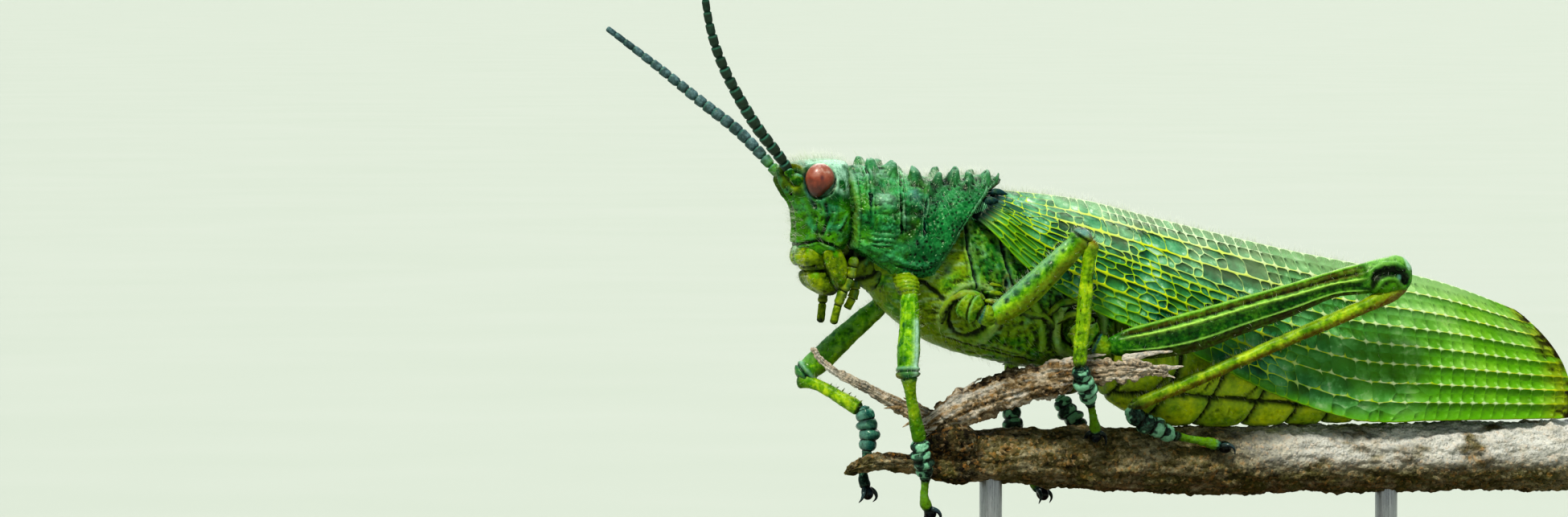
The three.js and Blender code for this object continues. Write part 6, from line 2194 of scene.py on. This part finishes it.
def turned(name, foot, radius, height, rounding, steps):
    """An upright cylinder on a foot point, with its edges rounded."""
    deselect()
    x, y, z = foot
    bpy.ops.mesh.primitive_cylinder_add(vertices=40, radius=radius * MM, depth=height * MM,
                                        location=(x * MM, y * MM, (z + height / 2) * MM))
    made = named(name)
    bpy.ops.object.transform_apply(location=True, rotation=True, scale=True)
    modify(made, "BEVEL", width=rounding * MM, segments=steps, limit_method="ANGLE")
    return made


# ---- Hair ----


HAIR_POINTS = 7  # two rings of three points, and the tip
HAIR_PATCH = 0.0014  # half the size of one hair's patch on the UV map


def skin_roots(obj, count, weight, seed):
    """Places scattered over a skin, more where weight (for each point) is higher."""
    mesh = obj.data
    mesh.calc_loop_triangles()
    triangles = read(mesh.loop_triangles, "vertices", 3)
    points, out = grab(obj), outward(obj)
    a, b, c = (points[triangles[:, k]] for k in range(3))
    area = np.linalg.norm(np.cross(b - a, c - a), axis=1) * weight[triangles].mean(axis=1)
    dice = np.random.default_rng(seed)
    chosen = dice.choice(len(area), size=count, p=area / area.sum())
    u, v = dice.random((2, count))
    u, v = np.where(u + v > 1, 1 - u, u), np.where(u + v > 1, 1 - v, v)
    share = np.stack([1 - u - v, u, v], axis=1)[:, :, None]
    corners = triangles[chosen]
    along, across, above = (recall(obj, k) for k in ("along", "across", "above"))
    if np.any(along):
        turn = (np.arctan2(above, across)[corners[:, 0]] + math.pi) / RAYS
    else:
        along = recall(obj, "reach")
        turn = recall(obj, "down")[corners].mean(axis=1)
    return {
        "at": (points[corners] * share).sum(axis=1),
        "out": (out[corners] * share).sum(axis=1),
        "uv": np.stack([turn, along[corners].mean(axis=1)], axis=1),
        "dice": dice,
    }


def coat(name, growths, material, slot):
    """One mesh of fine tapered hairs. growths lists (skin, count, weight, length, thickness, lean), and
    each growth has its own cell of the UV map, on which each hair has a small patch."""
    rows, uvs = [], []
    cells = math.ceil(math.sqrt(len(growths)))
    for n, (skin, count, weight, length, thick, lean) in enumerate(growths):
        roots = skin_roots(skin, count, weight, 500 + n + len(name))
        dice = roots["dice"]
        out = unit(roots["out"])
        way = unit(out + np.asarray(lean) + dice.normal(0, 0.28, (count, 3)))
        long = length * (0.45 + dice.random(count))[:, None]
        side = np.cross(way, out + dice.normal(0, 0.5, (count, 3)))
        side /= np.linalg.norm(side, axis=1)[:, None] + 1e-9
        other = np.cross(way, side)
        curl = (np.asarray(lean) * 0.5 + dice.normal(0, 0.12, (count, 3))) * long
        for share, width in ((0.0, 1.0), (0.5, 0.75)):
            centre = roots["at"] - out * 0.03 * (share == 0) + way * long * share + curl * share**2
            for k in range(3):
                turn = RAYS * k / 3
                rows.append(centre + (side * math.cos(turn) + other * math.sin(turn)) * thick * width)
                patch = (math.cos(turn) * HAIR_PATCH, math.sin(turn) * HAIR_PATCH + share * 0.0004)
                uvs.append((n, roots["uv"], patch))
        rows.append(roots["at"] + way * long + curl)
        uvs.append((n, roots["uv"], (0.0, HAIR_PATCH)))
    points, places, faces, start = [], [], [], 0
    for g in range(len(growths)):
        block = rows[g * HAIR_POINTS:(g + 1) * HAIR_POINTS]
        count = len(block[0])
        points.append(np.stack(block, axis=1).reshape(-1, 3))
        here = []
        for cell, uv, shift in uvs[g * HAIR_POINTS:(g + 1) * HAIR_POINTS]:
            corner = np.array([cell % cells, cell // cells])
            here.append((corner + 0.03 + 0.94 * uv) / cells + shift)
        places.append(np.stack(here, axis=1).reshape(-1, 2))
        base = start + np.arange(count)[:, None] * HAIR_POINTS
        for k in range(3):
            m = (k + 1) % 3
            low = np.concatenate([base + k, base + m, base + 3 + m], axis=1)
            high = np.concatenate([base + k, base + 3 + m, base + 3 + k], axis=1)
            cap = np.concatenate([base + 3 + k, base + 3 + m, base + 6], axis=1)
            faces += [low, high, cap]
        start += count * HAIR_POINTS
    points, places, faces = np.concatenate(points), np.concatenate(places), np.concatenate(faces)
    mesh = bpy.data.meshes.new(name)
    mesh.from_pydata((points * MM).tolist(), [], faces.tolist())
    hair = bpy.data.objects.new(name, mesh)
    bpy.context.scene.collection.objects.link(hair)
    layer = mesh.uv_layers.new(name="OFBake")
    corner = read(mesh.loops, "vertex_index")
    layer.data.foreach_set("uv", places[corner].astype(np.float32).ravel())
    finished(hair, material, slot=slot)


def make_coats(finish):
    hair = finish["hair"]

    def facing(obj, way, low=0.0, high=0.8):
        return ramp(outward(obj) @ np.asarray(way, float), low, high) + 0.02

    head = SKINS["head"]
    eyes_off = 1 - np.exp(-((np.linalg.norm((np.abs(grab(head)) - np.abs(EYE["at"])) / 1.8, axis=1)) ** 6))
    coat("coat_head", [
        (head, 420, facing(head, (-1, 0, 0.1), 0.93, 0.998) * eyes_off, 0.65, 0.005, (-0.2, 0, 0.1)),
        (head, 700, facing(head, (0, 0, 1), 0.6, 0.97) * eyes_off, 0.7, 0.007, (-0.4, 0, 0.3)),
        (head, 130, np.ones(len(head.data.vertices)) * eyes_off, 0.2, 0.005, (-0.1, 0, -0.1)),
        (SKINS["clypeus"], 150, facing(SKINS["clypeus"], (-1, 0, 0), 0.5, 1), 0.35, 0.006, (-0.2, 0, -0.1)),
        (SKINS["labrum"], 150, facing(SKINS["labrum"], (-1, 0, 0), 0.5, 1), 0.3, 0.006, (-0.2, 0, -0.3)),
        (SKINS["mandible_left"], 50, facing(SKINS["mandible_left"], (0, -1, 0)), 0.22, 0.006, (0, 0, -0.4)),
        (SKINS["mandible_right"], 50, facing(SKINS["mandible_right"], (0, 1, 0)), 0.22, 0.006, (0, 0, -0.4)),
    ], hair, "body_shell")
    saddle = SKINS["pronotum"]
    coat("coat_saddle", [
        (saddle, 1300, facing(saddle, (0, 0, 1), 0.7, 0.98), 0.7, 0.007, (-0.35, 0, 0.4)),
        (saddle, 350, np.ones(len(saddle.data.vertices)), 0.22, 0.006, (0.1, 0, 0.1)),
    ], hair, "body_shell")
    thorax, abdomen = SKINS["thorax"], SKINS["abdomen"]
    low_thorax = facing(thorax, (0, 0, -1), 0.3, 0.9)
    coat("coat_trunk", [
        (thorax, 900, low_thorax, 0.5, 0.006, (0.5, 0, -0.2)),
        (thorax, 600, 1 - 0.7 * ramp(grab(thorax)[:, 2], 34, 37), 0.3, 0.006, (0.8, 0, -0.2)),
        (abdomen, 900, facing(abdomen, (0, 0, -1), -0.6, 0.5), 0.3, 0.007, (0.6, 0, -0.2)),
    ], hair, "body_shell")
    for word, side in SIDES.items():
        wing = SKINS[f"wing_{word}"]
        s, t = recall(wing, "reach"), recall(wing, "down")
        coat(f"coat_wing_{word}", [
            (wing, 1200, ramp(t, 0.09, 0.0) * ramp(1 - s, 0.1, 0.5) + 1e-4, 0.5, 0.009, (-0.1, 0, 0.8)),
        ], hair, "wing")
        legs = []
        for pair in ("fore", "middle", "hind"):
            name = f"{pair}_{word}"
            for kind, count, length in (("coxa", 60, 0.3), ("femur", 360 if pair == "hind" else 220, 0.42),
                                        ("tibia", 360 if pair == "hind" else 160, 0.4)):
                leg = SKINS[f"{kind}_{name}"]
                weight = 0.35 + facing(leg, (0, 0, 1), 0.3, 0.95) * 2
                legs.append((leg, count, weight, length, 0.007, (0.0, side * 0.1, 0.25)))
        coat(f"coat_legs_{word}", legs, hair, "leg_shell")


# ---- Floor, light and camera ----


def make_studio():
    deselect()
    bpy.ops.mesh.primitive_circle_add(vertices=96, radius=14.0, fill_type="NGON")
    floor = named("floor")
    with editing(floor):
        bpy.ops.mesh.inset(thickness=9.0, depth=0)
    paper = Finish("Floor_paper", Specular_IOR_Level=0.2)
    cloud = paper.speckle(40.0, 2.0)
    colour = paper.stops(cloud, (0.3, ink(172, 180, 168)), (0.7, ink(176, 183, 172)))
    floor.data.materials.append(paper.done(colour, paper.between(cloud, 0.7, 0.85)))
    world = bpy.data.worlds.new("Studio_air")
    bpy.context.scene.world = world
    world.use_nodes = True
    world.node_tree.nodes["Background"].inputs["Color"].default_value = ink(196, 204, 204)
    world.node_tree.nodes["Background"].inputs["Strength"].default_value = 0.5
    # Each lamp is a wide, soft patch of sky: where it hangs, its width in degrees, strength and colour.
    lamps = (
        ("key_softbox", (-0.45, -0.6, 1.0), 9.0, 3.2, (255, 250, 240)),
        ("overhead_softbox", (0.1, 0.25, 1.0), 60.0, 1.0, (226, 240, 255)),
        ("rim_softbox", (0.5, 1.0, 0.7), 40.0, 0.7, (255, 250, 236)),
    )
    for name, at, spread, strength, colour in lamps:
        light = bpy.data.lights.new(name, "SUN")
        light.angle, light.energy, light.color = math.radians(spread), strength, ink(*colour)[:3]
        lamp = bpy.data.objects.new(name, light)
        lamp.location = at
        lamp.rotation_euler = Vector(at).to_track_quat("Z", "Y").to_euler()
        bpy.context.scene.collection.objects.link(lamp)


# The lens looks 20 degrees towards the head from square on and 2 degrees down, from 0.8 m away.
CAMERA = {"turn": 20.0, "pitch": 2.0, "away": 800.0, "lens": 206.769, "aim": (-33.648, 13.018, 32.737)}


def make_camera():
    turn, pitch = math.radians(CAMERA["turn"]), math.radians(CAMERA["pitch"])
    back = Vector((-math.sin(turn) * math.cos(pitch), -math.cos(turn) * math.cos(pitch), math.sin(pitch)))
    lens = bpy.data.cameras.new("Camera")
    lens.lens, lens.sensor_width, lens.sensor_fit = CAMERA["lens"], 36.0, "HORIZONTAL"
    lens.clip_start, lens.clip_end = 0.05, 60.0
    camera = bpy.data.objects.new("Camera", lens)
    camera.location = (Vector(CAMERA["aim"]) + back * CAMERA["away"]) * MM
    camera.rotation_euler = (-back).to_track_quat("-Z", "Y").to_euler()
    bpy.context.scene.collection.objects.link(camera)
    bpy.context.scene.camera = camera


def main():
    make_camera()
    make_studio()
    finish = make_materials()
    make_stand(finish)
    make_branch(finish)
    make_splinter(finish)
    make_twig(finish)
    make_head(finish)
    make_throat(finish)
    make_eyes(finish)
    make_mouth(finish)
    make_palps(finish)
    make_antennae(finish)
    make_saddle(finish)
    make_thorax(finish)
    make_abdomen(finish)
    make_wings(finish)
    make_hinges(finish)
    make_legs(finish)
    make_coats(finish)
    bpy.context.scene.view_settings.view_transform = "Standard"
    bpy.context.scene.view_settings.look = "Medium High Contrast"


main()
